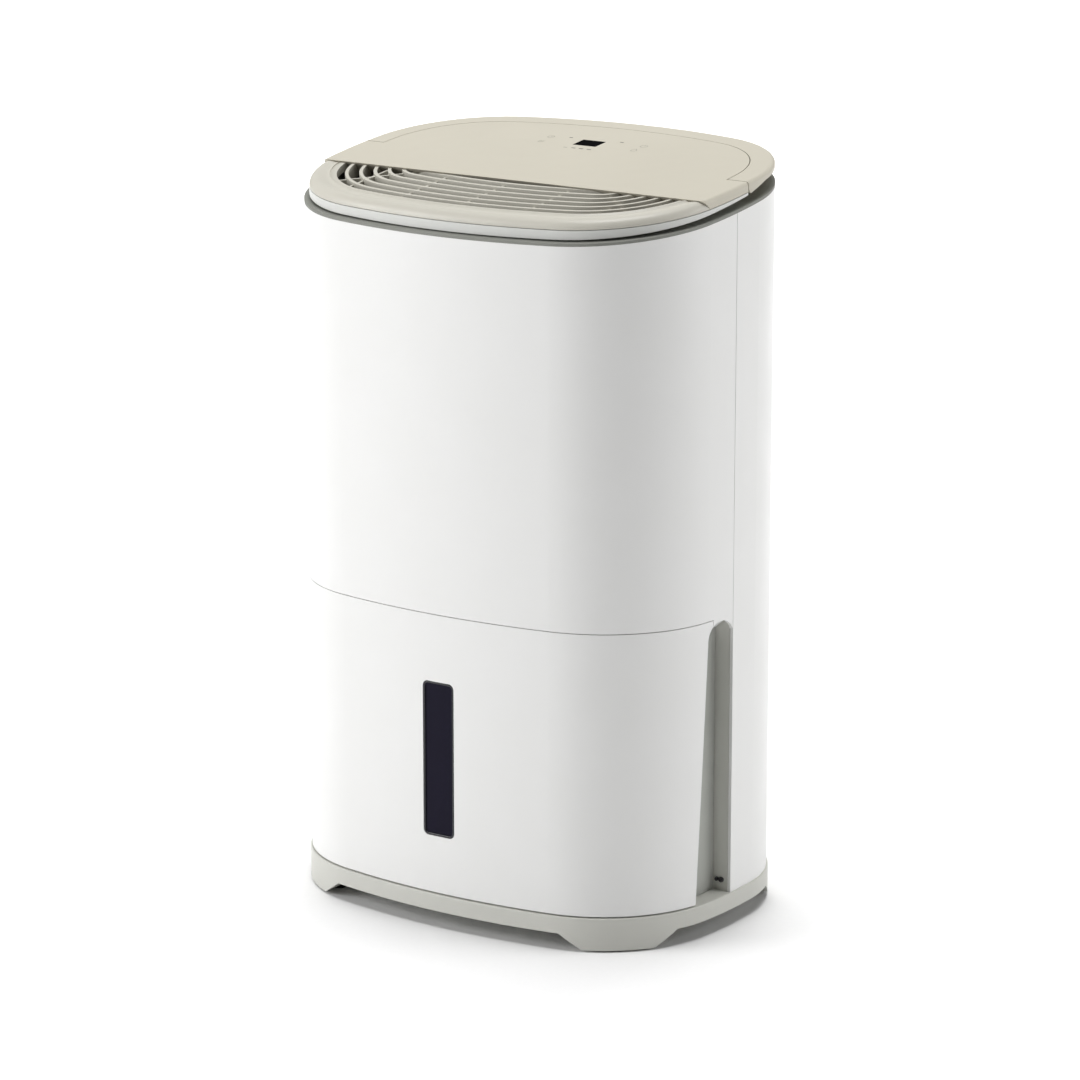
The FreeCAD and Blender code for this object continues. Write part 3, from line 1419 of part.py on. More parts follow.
# ------------------------------------------------------------------ the whole set
def all_pieces():
    coil_sets = {"evaporator": evaporator_y, "condenser": condenser_y}
    pieces = {
        "base_tray": make_base_tray(), "rubber_feet": make_rubber_feet(),
        "front_cover": make_front_cover(), "rear_cover": make_rear_cover(),
        "casing_screws": make_casing_screws(),
        "intake_grille": make_intake_grille(), "filter_frame": make_filter_frame(),
        "filter_mesh": mesh_block(),
        "tank_front": make_tank_front(), "window_bezel": make_window_bezel(),
        "window_lens": make_window_lens(), "water_tank": make_water_tank(), "tank_lid": make_tank_lid(),
        "tank_float": make_float(), "float_magnet": magnet_rod(0.0), "float_pin": make_float_pin(),
        "bulkhead": make_bulkhead(), "chassis_deck": make_chassis_deck(), "drain_pan": make_drain_pan(),
        "compressor": make_compressor(), "compressor_grommets": make_compressor_grommets(),
        "compressor_bolts": make_compressor_bolts(), "terminal_cover": make_terminal_cover(),
        "accumulator": make_accumulator(), "accumulator_bracket": make_accumulator_bracket(),
        "discharge_pipe": make_discharge_pipe(), "suction_pipe": make_suction_pipe(),
        "filter_drier": make_filter_drier(), "capillary_tube": make_capillary_tube(),
        "fan_wheel": make_fan_wheel(), "motor_shaft": make_motor_shaft(), "fan_motor": make_fan_motor(),
        "fan_housing": make_fan_housing(), "outlet_duct": make_outlet_duct(),
        "electrics_box": make_electrics_box(), "power_board": make_power_board(),
        "run_capacitor": make_run_capacitor(), "control_board": make_control_board(),
        "tank_switch": make_tank_switch(), "humidity_sensor": make_humidity_sensor(),
        "cable_gland": make_cable_gland(), "drain_port": make_drain_port(), "drain_cap": make_drain_cap(),
        "neck_ring": make_neck_ring(), "collar": make_collar(), "outlet_grille": make_outlet_grille(),
        "top_panel": make_top_panel(), "display_window": make_display_window(),
        "handle_pins": make_handle_pins(), "carry_handle": make_carry_handle(),
    }
    for name, front_y in coil_sets.items():
        pieces[name + "_fins"] = coil(front_y)
        pieces[name + "_plates"] = coil_plates(front_y)
        pieces[name + "_bends"] = coil_bends(front_y)
    return pieces


def solids_of(shape):
    """One solid, or the compound of a node that is several solids."""
    solids = [s for item in shape for s in item.Solids] if isinstance(shape, list) else shape.Solids
    return solids[0] if len(solids) == 1 else Part.makeCompound(solids)


os.makedirs("parts", exist_ok=True)
for node, piece in all_pieces().items():
    result = solids_of(piece)
    print(node, "solids", len(result.Solids), "valid", result.isValid(), "volume", round(result.Volume))
    result.exportStep("parts/" + node + ".step")
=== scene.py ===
"""Looks of the dehumidifier: materials, the fine pieces the CAD lacks, floor, lights and camera."""

import math

import bpy
import numpy as np
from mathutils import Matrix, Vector


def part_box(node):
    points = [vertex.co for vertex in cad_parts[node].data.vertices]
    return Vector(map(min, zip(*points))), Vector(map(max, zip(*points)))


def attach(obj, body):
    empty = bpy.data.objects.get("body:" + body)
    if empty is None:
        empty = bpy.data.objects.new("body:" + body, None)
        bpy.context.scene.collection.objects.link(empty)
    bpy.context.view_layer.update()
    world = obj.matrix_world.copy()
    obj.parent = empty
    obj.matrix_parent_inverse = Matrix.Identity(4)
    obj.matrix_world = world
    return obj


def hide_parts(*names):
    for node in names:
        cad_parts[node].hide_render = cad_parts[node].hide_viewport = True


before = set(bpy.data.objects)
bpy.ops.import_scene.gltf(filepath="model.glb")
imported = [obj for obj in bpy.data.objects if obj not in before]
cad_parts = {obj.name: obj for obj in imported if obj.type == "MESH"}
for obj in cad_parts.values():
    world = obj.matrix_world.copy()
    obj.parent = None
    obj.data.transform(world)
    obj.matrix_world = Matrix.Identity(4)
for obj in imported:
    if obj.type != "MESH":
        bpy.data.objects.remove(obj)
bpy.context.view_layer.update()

MM = 0.001

# ------------------------------------------------------------------ sizes, from the frame where it has them
DISPLAY_HIGH = np.array(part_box("display_window")[1])
BEZEL_LOW, BEZEL_HIGH = [np.array(corner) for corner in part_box("window_bezel")]
LID_SLOPE = 0.1253                                     # metres the lid rises per metre towards the rear
SURFACE_LIFT = 0.05 * MM                               # printed marks stand this far off the lid

# ------------------------------------------------------------------ water window's trim
TRIM_CORNER = 4.4 * MM                                 # radius of the outer corners
TRIM_WIDTH = 1.7 * MM
TRIM_ROUNDING = 0.35 * MM                              # how far the half-round profile bulges
TRIM_LIFT = 0.1 * MM                                   # stands its edges off the bezel's face
TRIM_DEPTH = 2.0 * MM                                  # how far the back lies behind front_y's arc
CROWN_LEAD = 0.5 * MM                                  # the arc's crown is this far ahead of the bezel
FRONT_RADIUS = 0.525                                   # metres, bow of the tank front near its middle

# ------------------------------------------------------------------ screws
HEAD_HEIGHT = 2.4 * MM
HEAD_RINGS = 14
HEAD_STEPS = 48
INNER_RINGS = 8                                        # rings over the cross; the rest shape the rim
CROSS_ARM = 0.16                                       # half width of an arm, as a share of the radius
CROSS_REACH = 0.55                                     # length of an arm, as a share of the radius
CROSS_DEPTH = 0.62                                     # depth of the cross, as a share of the height
ARM_WALL = 1.4                                         # the pocket's sides slope from here inwards
END_WALL = 1.25                                        # and its ends from here
END_STEEPNESS = 3.0
SCREW_CELL = 0.03                                      # metres, cells that the points are sorted into
REAR_SIDE = 0.05                                       # metres, screws behind this face the rear

# ------------------------------------------------------------------ printing, in millimetres
DASH_WIDTH = 1.2
LINE_WIDTH = 0.6
HAND_WIDTH = 0.5
STATUS_DASHES = (
    # x, y, length
    (-4.0, 52.5, 3.6),
    (3.0, 52.5, 3.6),
    (10.0, 52.5, 3.6),
    (-22.7, 77.0, 3.0),
    (22.6, 78.0, 3.0),
)
PALE_DASH = (-11.0, 52.0, 3.4)

# ------------------------------------------------------------------ filter net
NET_PITCH = 9.475 * MM
WAVE_PERIOD = 2 * math.pi / 20                         # metres, of a wave texture whose scale is one

# ------------------------------------------------------------------ studio
FLOOR_HALF = 14.0                                      # metres
AMBIENT = 0.03                                         # the dark room round the lit set
SUN_STRENGTH = 2.2                                     # overhead scrim: lights the floor evenly
SUN_ANGLE = 30.0                                       # degrees, so that its shadows are soft
OBJECT_MIDDLE = (0, 0, 0.28)
SOFTBOXES = {
    # name: (place, target, width, height, power in watts)
    "softbox_left": ((-2.1, -2.1, 1.3), OBJECT_MIDDLE, 1.5, 1.8, 56.0),
    "softbox_right": ((2.6, 1.5, 1.3), OBJECT_MIDDLE, 1.5, 1.8, 29.0),
    "floor_wash": ((-2.6, 3.9, 2.6), (-2.6, 3.9, 0.0), 6.0, 6.0, 240.0),
}
LENS = 143.53                                          # millimetres, on a sensor of this width
SENSOR_WIDTH = 36.0
CLIP_END = 60.0
CAMERA_PLACE = (1.7965, -2.5857, 1.0575)
CAMERA_DOWN = 14.02                                    # degrees below the level
CAMERA_TURN = 34.76                                    # degrees about the upright axis


# ------------------------------------------------------------------ colour and nodes
def srgb(code):
    """Linear RGBA of an sRGB hex colour."""
    values = np.array([int(code[i:i + 2], 16) for i in (1, 3, 5)]) / 255
    linear = np.where(values <= 0.04045, values / 12.92, ((values + 0.055) / 1.055) ** 2.4)
    return (*[float(v) for v in linear], 1.0)


def add(tree, kind, links=None, **settings):
    """Adds a node: settings are its properties or constant inputs, links feed inputs from other sockets."""
    node = tree.nodes.new("ShaderNode" + kind)
    for name, value in settings.items():
        if hasattr(node, name):
            setattr(node, name, value)
        else:
            node.inputs[name.replace("_", " ")].default_value = value
    for name, socket in (links or {}).items():
        tree.links.new(socket, node.inputs[name])
    return node


def blank(name):
    """A new material with its tree, its shader and object coordinates."""
    material = bpy.data.materials.new(name)
    material.use_nodes = True
    tree = material.node_tree
    shader = tree.nodes["Principled BSDF"]
    coordinates = add(tree, "TexCoord").outputs["Object"]
    return material, tree, shader, coordinates


def set_shader(shader, **settings):
    """Sets the shader's constant inputs."""
    for name, value in settings.items():
        shader.inputs[name.replace("_", " ")].default_value = value


def grain_scale(millimetres):
    """Noise scale that gives features of that size, with coordinates in metres."""
    return 1000.0 / millimetres


# ------------------------------------------------------------------ plastics
def moulded_plastic(name, colour, shade, roughness, grain=0.9, depth=0.02, ior=1.53):
    """Injection-moulded plastic: fine spark-eroded grain, faint flow mottling and uneven gloss."""
    material, tree, shader, where = blank(name)
    mottle = add(tree, "TexNoise", {"Vector": where}, Scale=grain_scale(60), Detail=3.0, Roughness=0.55)
    tint = add(tree, "MixRGB", {"Fac": mottle.outputs["Fac"]}, Color1=srgb(colour), Color2=srgb(shade))
    fine = add(tree, "TexNoise", {"Vector": where}, Scale=grain_scale(grain), Detail=2.0, Roughness=0.6)
    gloss = add(tree, "MapRange", {"Value": mottle.outputs["Fac"]}, From_Min=0.3, From_Max=0.7,
                To_Min=roughness - 0.04, To_Max=roughness + 0.05)
    bump = add(tree, "Bump", {"Height": fine.outputs["Fac"]}, Strength=0.35, Distance=depth * MM)
    set_shader(shader, IOR=ior)
    tree.links.new(tint.outputs["Color"], shader.inputs["Base Color"])
    tree.links.new(gloss.outputs["Result"], shader.inputs["Roughness"])
    tree.links.new(bump.outputs["Normal"], shader.inputs["Normal"])
    return material


def casing_abs():
    """ABS, satin moulded: bright white with soft wide highlights."""
    return moulded_plastic("casing_abs_satin", "#EFEFEE", "#ECECEA", 0.36)


def base_abs():
    """ABS, finely textured: warm pale grey, duller than the casing."""
    return moulded_plastic("base_abs_textured", "#D0D0C9", "#CACAC3", 0.46, grain=1.1, depth=0.03)


def lid_abs():
    """ABS, finely textured: warm beige that picks up a faint sheen at low angles."""
    return moulded_plastic("lid_abs_textured", "#CEC9BA", "#C8C3B4", 0.46, grain=1.1, depth=0.03)


def grille_abs():
    """ABS, satin moulded: the louvres' and ring's off-white beige."""
    return moulded_plastic("grille_abs_satin", "#CECBC0", "#C9C6BB", 0.42)


def collar_abs():
    """ABS, satin moulded: a cooler off-white than the ring above it."""
    return moulded_plastic("collar_abs_satin", "#DFE0DC", "#D9DAD6", 0.4)


def neck_painted_shade():
    """ABS, matt moulded: a mid grey, darker than the pale parts round it, that is painted shade for the
    recessed neck groove, which is nearly always in shadow.
    """
    # painted shade: this grey stands for the shadow in the recessed neck groove
    return moulded_plastic("neck_painted_shade_matt", "#8A8B84", "#7F807A", 0.6)


def inner_pp():
    """Polypropylene, plain moulded: grey inner panels with a slightly waxy gloss."""
    return moulded_plastic("inner_polypropylene", "#A9AAA4", "#9FA09A", 0.45, grain=1.6, ior=1.49)


def fan_pp():
    """Polypropylene, black: smooth and slightly waxy."""
    return moulded_plastic("fan_polypropylene_black", "#2B2B2D", "#222224", 0.4, grain=2.0, ior=1.49)


def float_foam():
    """Closed-cell polyethylene foam: white, with small rounded cells."""
    material, tree, shader, where = blank("float_foam_closed_cell")
    cells = add(tree, "TexVoronoi", {"Vector": where}, Scale=grain_scale(1.6))
    tint = add(tree, "MixRGB", {"Fac": cells.outputs["Distance"]}, Color1=srgb("#F2F1EC"),
               Color2=srgb("#D9D7CF"))
    bump = add(tree, "Bump", {"Height": cells.outputs["Distance"]}, Strength=0.5, Distance=0.2 * MM)
    set_shader(shader, IOR=1.5, Roughness=0.75)
    tree.links.new(tint.outputs["Color"], shader.inputs["Base Color"])
    tree.links.new(bump.outputs["Normal"], shader.inputs["Normal"])
    return material


def tank_pp():
    """Translucent grey polypropylene: milky, with a soft moulded gloss and faint flow marks."""
    material, tree, shader, where = blank("tank_polypropylene_grey")
    flow = add(tree, "TexNoise", {"Vector": where}, Scale=grain_scale(45), Detail=4.0, Distortion=1.5)
    tint = add(tree, "MixRGB", {"Fac": flow.outputs["Fac"]}, Color1=srgb("#BDBFB9"), Color2=srgb("#B0B2AC"))
    fine = add(tree, "TexNoise", {"Vector": where}, Scale=grain_scale(1.2), Detail=2.0)
    bump = add(tree, "Bump", {"Height": fine.outputs["Fac"]}, Strength=0.3, Distance=0.02 * MM)
    set_shader(shader, IOR=1.49, Roughness=0.38, Transmission_Weight=0.08)
    tree.links.new(tint.outputs["Color"], shader.inputs["Base Color"])
    tree.links.new(bump.outputs["Normal"], shader.inputs["Normal"])
    return material


def gloss_panel(name, colour, shade, roughness, smear, glare):
    """Polished dark plastic: deep colour with faint smears from wiping; glare is its specular level."""
    material, tree, shader, where = blank(name)
    wipe = add(tree, "Mapping", {"Vector": where}, Scale=(4.0, 4.0, 0.7))
    marks = add(tree, "TexNoise", {"Vector": wipe.outputs["Vector"]}, Scale=grain_scale(26), Detail=5.0)
    tint = add(tree, "MixRGB", {"Fac": marks.outputs["Fac"]}, Color1=srgb(colour), Color2=srgb(shade))
    gloss = add(tree, "MapRange", {"Value": marks.outputs["Fac"]}, From_Min=0.35, From_Max=0.75,
                To_Min=roughness, To_Max=roughness + smear)
    set_shader(shader, IOR=1.49, Specular_IOR_Level=glare)
    tree.links.new(tint.outputs["Color"], shader.inputs["Base Color"])
    tree.links.new(gloss.outputs["Result"], shader.inputs["Roughness"])
    return material


def smoked_pane():
    """PMMA, smoked: a nearly black navy that hides the water behind it."""
    return gloss_panel("water_window_smoked_pmma", "#191628", "#151322", 0.12, 0.1, 0.08)


def bezel_gloss():
    """ABS, piano-gloss black: bright thin highlights on its rounded edge."""
    return gloss_panel("window_trim_gloss_abs", "#232329", "#1C1C22", 0.15, 0.08, 0.5)


def display_pane():
    """PMMA over a dark display: black and even."""
    return gloss_panel("display_pane_pmma", "#0B0B0D", "#08080A", 0.14, 0.06, 0.08)


# ------------------------------------------------------------------ rubber, cloth, boards
def soft_rubber(name, colour):
    """Moulded rubber: matt black, with fine grain and a dusty bloom."""
    material, tree, shader, where = blank(name)
    bloom = add(tree, "TexNoise", {"Vector": where}, Scale=grain_scale(9), Detail=5.0)
    tint = add(tree, "MixRGB", {"Fac": bloom.outputs["Fac"]}, Color1=srgb(colour), Color2=srgb("#2E2E2E"))
    fine = add(tree, "TexNoise", {"Vector": where}, Scale=grain_scale(0.7), Detail=2.0)
    bump = add(tree, "Bump", {"Height": fine.outputs["Fac"]}, Strength=0.4, Distance=0.05 * MM)
    set_shader(shader, IOR=1.52, Roughness=0.72)
    tree.links.new(tint.outputs["Color"], shader.inputs["Base Color"])
    tree.links.new(bump.outputs["Normal"], shader.inputs["Normal"])
    return material


def nylon_mesh():
    """Woven nylon net, drawn at NET_PITCH, far coarser than the real 0.8 mm, so that it shows."""
    material, tree, shader, where = blank("filter_net_woven_nylon")
    scale = WAVE_PERIOD / NET_PITCH
    across = add(tree, "TexWave", {"Vector": where}, Scale=scale, bands_direction="X", wave_profile="SIN")
    along = add(tree, "TexWave", {"Vector": where}, Scale=scale, bands_direction="Z", wave_profile="SIN")
    thread = add(tree, "Math", {0: across.outputs["Fac"], 1: along.outputs["Fac"]}, operation="MAXIMUM")
    sharp = add(tree, "MapRange", {"Value": thread.outputs["Value"]}, From_Min=0.55, From_Max=0.85)
    tint = add(tree, "MixRGB", {"Fac": sharp.outputs["Result"]}, Color1=srgb("#0C0C0E"),
               Color2=srgb("#47484C"))
    bump = add(tree, "Bump", {"Height": sharp.outputs["Result"]}, Strength=0.8, Distance=0.4 * MM)
    set_shader(shader, Roughness=0.6)
    tree.links.new(tint.outputs["Color"], shader.inputs["Base Color"])
    tree.links.new(bump.outputs["Normal"], shader.inputs["Normal"])
    return material


def solder_mask():
    """Circuit board: green solder mask over raised copper tracks."""
    material, tree, shader, where = blank("circuit_board_solder_mask")
    tracks = add(tree, "TexBrick", {"Vector": where}, Scale=grain_scale(14), Mortar_Size=0.03,
                 Color1=srgb("#1E5A34"), Color2=srgb("#195030"), Mortar=srgb("#3C8A55"))
    bump = add(tree, "Bump", {"Height": tracks.outputs["Fac"]}, Strength=0.5, Distance=0.05 * MM)
    set_shader(shader, Roughness=0.3)
    tree.links.new(tracks.outputs["Color"], shader.inputs["Base Color"])
    tree.links.new(bump.outputs["Normal"], shader.inputs["Normal"])
    return material


# ------------------------------------------------------------------ metals and paint
def worked_metal(name, colour, shade, roughness, stretch, size):
    """Bare metal with the marks of how it was drawn or rolled, stretched along one way."""
    material, tree, shader, where = blank(name)
    drawn = add(tree, "Mapping", {"Vector": where}, Scale=stretch)
    marks = add(tree, "TexNoise", {"Vector": drawn.outputs["Vector"]}, Scale=grain_scale(size), Detail=6.0)
    tint = add(tree, "MixRGB", {"Fac": marks.outputs["Fac"]}, Color1=srgb(colour), Color2=srgb(shade))
    gloss = add(tree, "MapRange", {"Value": marks.outputs["Fac"]}, From_Min=0.3, From_Max=0.7,
                To_Min=roughness - 0.08, To_Max=roughness + 0.12)
    set_shader(shader, Metallic=1.0)
    tree.links.new(tint.outputs["Color"], shader.inputs["Base Color"])
    tree.links.new(gloss.outputs["Result"], shader.inputs["Roughness"])
    return material


def zinc_plate():
    """Zinc-plated steel: cool grey with a cloudy spangle."""
    return worked_metal("zinc_plated_steel", "#C3C6C9", "#9FA3A8", 0.34, (1, 1, 1), 6)


def copper_tube():
    """Drawn copper tube: orange-pink, browning where it has been brazed and handled."""
    return worked_metal("drawn_copper_tube", "#D98E6B", "#9A5A3E", 0.3, (1, 1, 1), 14)


def fin_foil():
    """Rolled aluminium foil: bright, with fine vertical rolling lines."""
    return worked_metal("rolled_aluminium_fins", "#DADCDE", "#B9BCC0", 0.3, (6, 6, 0.5), 8)


def can_aluminium():
    """Deep-drawn aluminium: soft vertical draw lines."""
    return worked_metal("drawn_aluminium_can", "#D2D4D6", "#B4B7BA", 0.35, (5, 5, 0.4), 6)


def ferrite():
    """Sintered ferrite: dark grey and grainy."""
    return worked_metal("sintered_ferrite", "#4A4A4E", "#35353A", 0.6, (1, 1, 1), 2)


def black_enamel(name, roughness):
    """Baked black enamel: glossy, with a little orange peel."""
    material, tree, shader, where = blank(name)
    peel = add(tree, "TexNoise", {"Vector": where}, Scale=grain_scale(3), Detail=2.0)
    dust = add(tree, "TexNoise", {"Vector": where}, Scale=grain_scale(30), Detail=4.0)
    tint = add(tree, "MixRGB", {"Fac": dust.outputs["Fac"]}, Color1=srgb("#1C1C1E"), Color2=srgb("#262628"))
    bump = add(tree, "Bump", {"Height": peel.outputs["Fac"]}, Strength=0.3, Distance=0.05 * MM)
    set_shader(shader, Roughness=roughness, Coat_Weight=0.5, Coat_Roughness=0.1)
    tree.links.new(tint.outputs["Color"], shader.inputs["Base Color"])
    tree.links.new(bump.outputs["Normal"], shader.inputs["Normal"])
    return material


def printing_ink():
    """Screen-printed dark grey ink: matt, a little worn."""
    material, tree, shader, where = blank("screen_print_ink_grey")
    wear = add(tree, "TexNoise", {"Vector": where}, Scale=grain_scale(1.5), Detail=4.0)
    tint = add(tree, "MixRGB", {"Fac": wear.outputs["Fac"]}, Color1=srgb("#3E3D39"), Color2=srgb("#5A5852"))
    set_shader(shader, Roughness=0.6)
    tree.links.new(tint.outputs["Color"], shader.inputs["Base Color"])
    return material


def faint_ink():
    """Screen-printed pale grey ink, only a little darker than the lid."""
    material, tree, shader, where = blank("screen_print_ink_pale")
    wear = add(tree, "TexNoise", {"Vector": where}, Scale=grain_scale(1.5), Detail=4.0)
    tint = add(tree, "MixRGB", {"Fac": wear.outputs["Fac"]}, Color1=srgb("#9A978B"), Color2=srgb("#B0AD9F"))
    set_shader(shader, Roughness=0.6)
    tree.links.new(tint.outputs["Color"], shader.inputs["Base Color"])
    return material


def dress_nodes():
    """Gives every CAD node the material of its finish."""
    finishes = {
        casing_abs(): ["front_cover", "rear_cover", "tank_front", "intake_grille"],
        base_abs(): ["base_tray", "bulkhead"],
        lid_abs(): ["top_panel", "carry_handle"],
        grille_abs(): ["outlet_grille"],
        collar_abs(): ["collar"],
        # painted shade: the neck ring's grey darkens its recessed groove
        neck_painted_shade(): ["neck_ring"],
        inner_pp(): ["chassis_deck", "drain_pan", "terminal_cover", "tank_switch", "humidity_sensor",
                     "drain_port", "tank_lid", "filter_frame"],
        fan_pp(): ["fan_wheel", "fan_housing", "outlet_duct"],
        float_foam(): ["tank_float"],
        tank_pp(): ["water_tank"],
        smoked_pane(): ["window_lens"],
        bezel_gloss(): ["window_bezel"],
        display_pane(): ["display_window"],
        soft_rubber("foot_rubber_moulded", "#161616"): ["rubber_feet", "compressor_grommets"],
        soft_rubber("gland_rubber_moulded", "#1A1A1B"): ["cable_gland", "drain_cap"],
        nylon_mesh(): ["filter_mesh"],
        solder_mask(): ["power_board", "control_board"],
        zinc_plate(): ["compressor_bolts", "accumulator_bracket", "fan_motor", "electrics_box", "motor_shaft",
                       "handle_pins", "float_pin", "evaporator_plates", "condenser_plates"],
        copper_tube(): ["discharge_pipe", "suction_pipe", "filter_drier", "capillary_tube",
                        "evaporator_bends", "condenser_bends"],
        fin_foil(): ["evaporator_fins", "condenser_fins"],
        can_aluminium(): ["run_capacitor"],
        ferrite(): ["float_magnet"],
        black_enamel("compressor_black_enamel", 0.3): ["compressor", "accumulator"],
        black_enamel("screw_black_oxide", 0.4): ["casing_screws"],
    }
    for material, nodes in finishes.items():
        for node in nodes:
            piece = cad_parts[node]
            piece.data.materials.clear()
            piece.data.materials.append(material)


def finish_of(node):
    """The material that dress_nodes gave a node, for the piece that stands in for it."""
    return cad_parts[node].data.materials[0]


# ------------------------------------------------------------------ meshes from arrays
def grid_faces(rows, columns, closed_rows=False, closed_columns=False):
    """Quads between neighbouring points of a rows by columns grid."""
    last_row = rows if closed_rows else rows - 1
    last_column = columns if closed_columns else columns - 1
    i, j = np.meshgrid(np.arange(last_row), np.arange(last_column), indexing="ij")
    a = i * columns + j
    b = i * columns + (j + 1) % columns
    c = ((i + 1) % rows) * columns + (j + 1) % columns
    d = ((i + 1) % rows) * columns + j
    return np.stack([a, b, c, d], axis=-1).reshape(-1, 4)


def put_piece(mesh, material, body, smooth=True):
    """Makes a mesh an object of the same name that rides on a body."""
    mesh.materials.append(material)
    mesh.polygons.foreach_set("use_smooth", np.full(len(mesh.polygons), smooth))
    piece = bpy.data.objects.new(mesh.name, mesh)
    bpy.context.scene.collection.objects.link(piece)
    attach(piece, body)
    return piece


def piece_from(name, points, faces, material, body, smooth=True):
    """Puts points and four-cornered faces into a piece."""
    mesh = bpy.data.meshes.new(name)
    mesh.from_pydata(np.asarray(points).reshape(-1, 3).tolist(), [], np.asarray(faces).tolist())
    piece = put_piece(mesh, material, body, smooth)
    mesh.validate()
    return piece


# ------------------------------------------------------------------ printed marks on the lid
def lid_point(x, y):
    """A point just above the sloping lid; x and y in metres."""
    x, y = np.broadcast_arrays(x, y)
    z = DISPLAY_HIGH[2] + LID_SLOPE * (y - DISPLAY_HIGH[1]) + SURFACE_LIFT
    return np.stack([x, y, z], axis=-1)


def stroke_points(line, width):
    """Flat stroke along a polyline: each point moved half the width to both sides of its tangent."""
    line = np.asarray(line, dtype=float) * MM
    tangent = np.gradient(line, axis=0)
    tangent /= np.linalg.norm(tangent, axis=1, keepdims=True)
    side = np.stack([-tangent[:, 1], tangent[:, 0]], axis=1) * width * MM / 2
    left, right = line + side, line - side
    return np.stack([lid_point(left[:, 0], left[:, 1]), lid_point(right[:, 0], right[:, 1])], axis=1)


def circle_line(x, y, radius, start=0.0, stop=360.0, steps=25):
    """Points on a circle, in millimetres: centre plus radius times cosine and sine of the angle."""
    angle = np.radians(np.linspace(start, stop, steps))
    return np.stack([x + radius * np.cos(angle), y + radius * np.sin(angle)], axis=1)


def strokes_piece(name, strokes, material):
    """One flat piece out of many strokes, each a polyline and a width in millimetres."""
    points, faces, count = [], [], 0
    for line, width in strokes:
        stroke = stroke_points(line, width)
        points.append(stroke.reshape(-1, 3))
        quads = grid_faces(len(stroke), 2) + count
        faces.append(quads[:, ::-1])
        count += stroke.shape[0] * 2
    return piece_from(name, np.concatenate(points), np.concatenate(faces), material, "cabinet", smooth=False)


def dash(x, y, length):
    """A short level line about its middle."""
    return np.array([[x - length / 2, y], [x, y], [x + length / 2, y]])


def drop_line(x, y, size):
    """Outline of a water drop: a circle whose upper half is drawn out to a point."""
    angle = np.radians(np.linspace(-90, 270, 25))
    point = np.clip(np.sin(angle), 0, 1) ** 3
    across = x + size * np.cos(angle) * (1 - 0.55 * point)
    along = y + size * (np.sin(angle) + 0.9 * point)
    return np.stack([across, along], axis=1)


def upright(x, *heights):
    """A line at x through the given places along y."""
    return np.array([[x, y] for y in heights])


def ring_and_stroke(x, y):
    """An open ring with a stroke through its gap."""
    ring = circle_line(x, y, 2.8, 120, 420)
    stroke = upright(x, y + 0.5, y + 2.0, y + 3.6)
    return [(ring, LINE_WIDTH), (stroke, LINE_WIDTH)]


def clock_face(x, y):
    """A ring with one short hand."""
    ring = circle_line(x, y, 2.6)
    hand = upright(x, y, y + 1.0, y + 1.9)
    return [(ring, LINE_WIDTH), (hand, HAND_WIDTH)]


def stacked_arcs(x, y):
    """Three shallow arcs, one behind the other."""
    return [(circle_line(x, y + step, 2.6, 210, 330, 9), LINE_WIDTH) for step in (0.0, 1.7, 3.4)]


def printed_marks():
    """Status marks by the display, and plain generic key symbols left and right of it."""
    dark = [(dash(*mark), DASH_WIDTH) for mark in STATUS_DASHES]
    strokes_piece("status_marks", dark, printing_ink())
    pale = [(dash(*PALE_DASH), DASH_WIDTH)]
    pale += ring_and_stroke(45.0, 74.0)
    pale += [(drop_line(44.0, 61.5, 2.2), LINE_WIDTH)]
    pale += clock_face(-39.0, 74.0)
    pale += stacked_arcs(-39.0, 61.0)
    strokes_piece("key_symbols", pale, faint_ink())


# ------------------------------------------------------------------ water window's trim
def front_y(x):
    """Bow of the tank front: an arc about an upright axis, its crown just ahead of the bezel's front."""
    return BEZEL_LOW[1] - CROWN_LEAD + FRONT_RADIUS - np.sqrt(FRONT_RADIUS ** 2 - x ** 2)


def window_trim():
    """Rounded trim: a half-round profile carried along the window's outline, with its back behind it.

    The outline is four quarter circles, walked at even angle steps and joined by straight sides. A point
    of the profile lies inward along the outline's normal by half the width times one minus the cosine of
    the profile's angle, and stands forward by the rounding times the sine of that angle.
    """
    width = BEZEL_HIGH[0] - BEZEL_LOW[0]
    height = BEZEL_HIGH[2] - BEZEL_LOW[2]
    middle = (BEZEL_HIGH[2] + BEZEL_LOW[2]) / 2
    angle = np.radians(np.linspace(0, 90, 9))
    quarter = np.stack([np.cos(angle), np.sin(angle)], axis=1)
    turns = [np.array([[c, -s], [s, c]]) for c, s in ((1, 0), (0, 1), (-1, 0), (0, -1))]
    corners = [(1, 1), (-1, 1), (-1, -1), (1, -1)]
    normals = np.concatenate([quarter @ turn.T for turn in turns])
    centres = np.repeat(np.array(corners, dtype=float), len(quarter), axis=0)
    centres *= [width / 2 - TRIM_CORNER, height / 2 - TRIM_CORNER]
    around = np.linspace(0, math.pi, 9)
    inward = TRIM_WIDTH * (1 - np.cos(around)) / 2
    proud = TRIM_ROUNDING * np.sin(around) + TRIM_LIFT
    loops = centres[None] + normals[None] * (TRIM_CORNER - inward)[:, None, None]
    x = loops[..., 0]
    z = loops[..., 1] + middle
    y = front_y(x) - proud[:, None] + CROWN_LEAD
    front = np.stack([x, y, z], axis=-1)
    back = front[::-1].copy()
    back[..., 1] = front_y(back[..., 0]) + TRIM_DEPTH
    points = np.concatenate([front, back])
    faces = grid_faces(len(points), points.shape[1], closed_rows=True, closed_columns=True)
    gloss = finish_of("window_bezel")
    trim_piece = piece_from("window_trim_ring", points, faces, gloss, "tank")
    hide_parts("window_bezel")


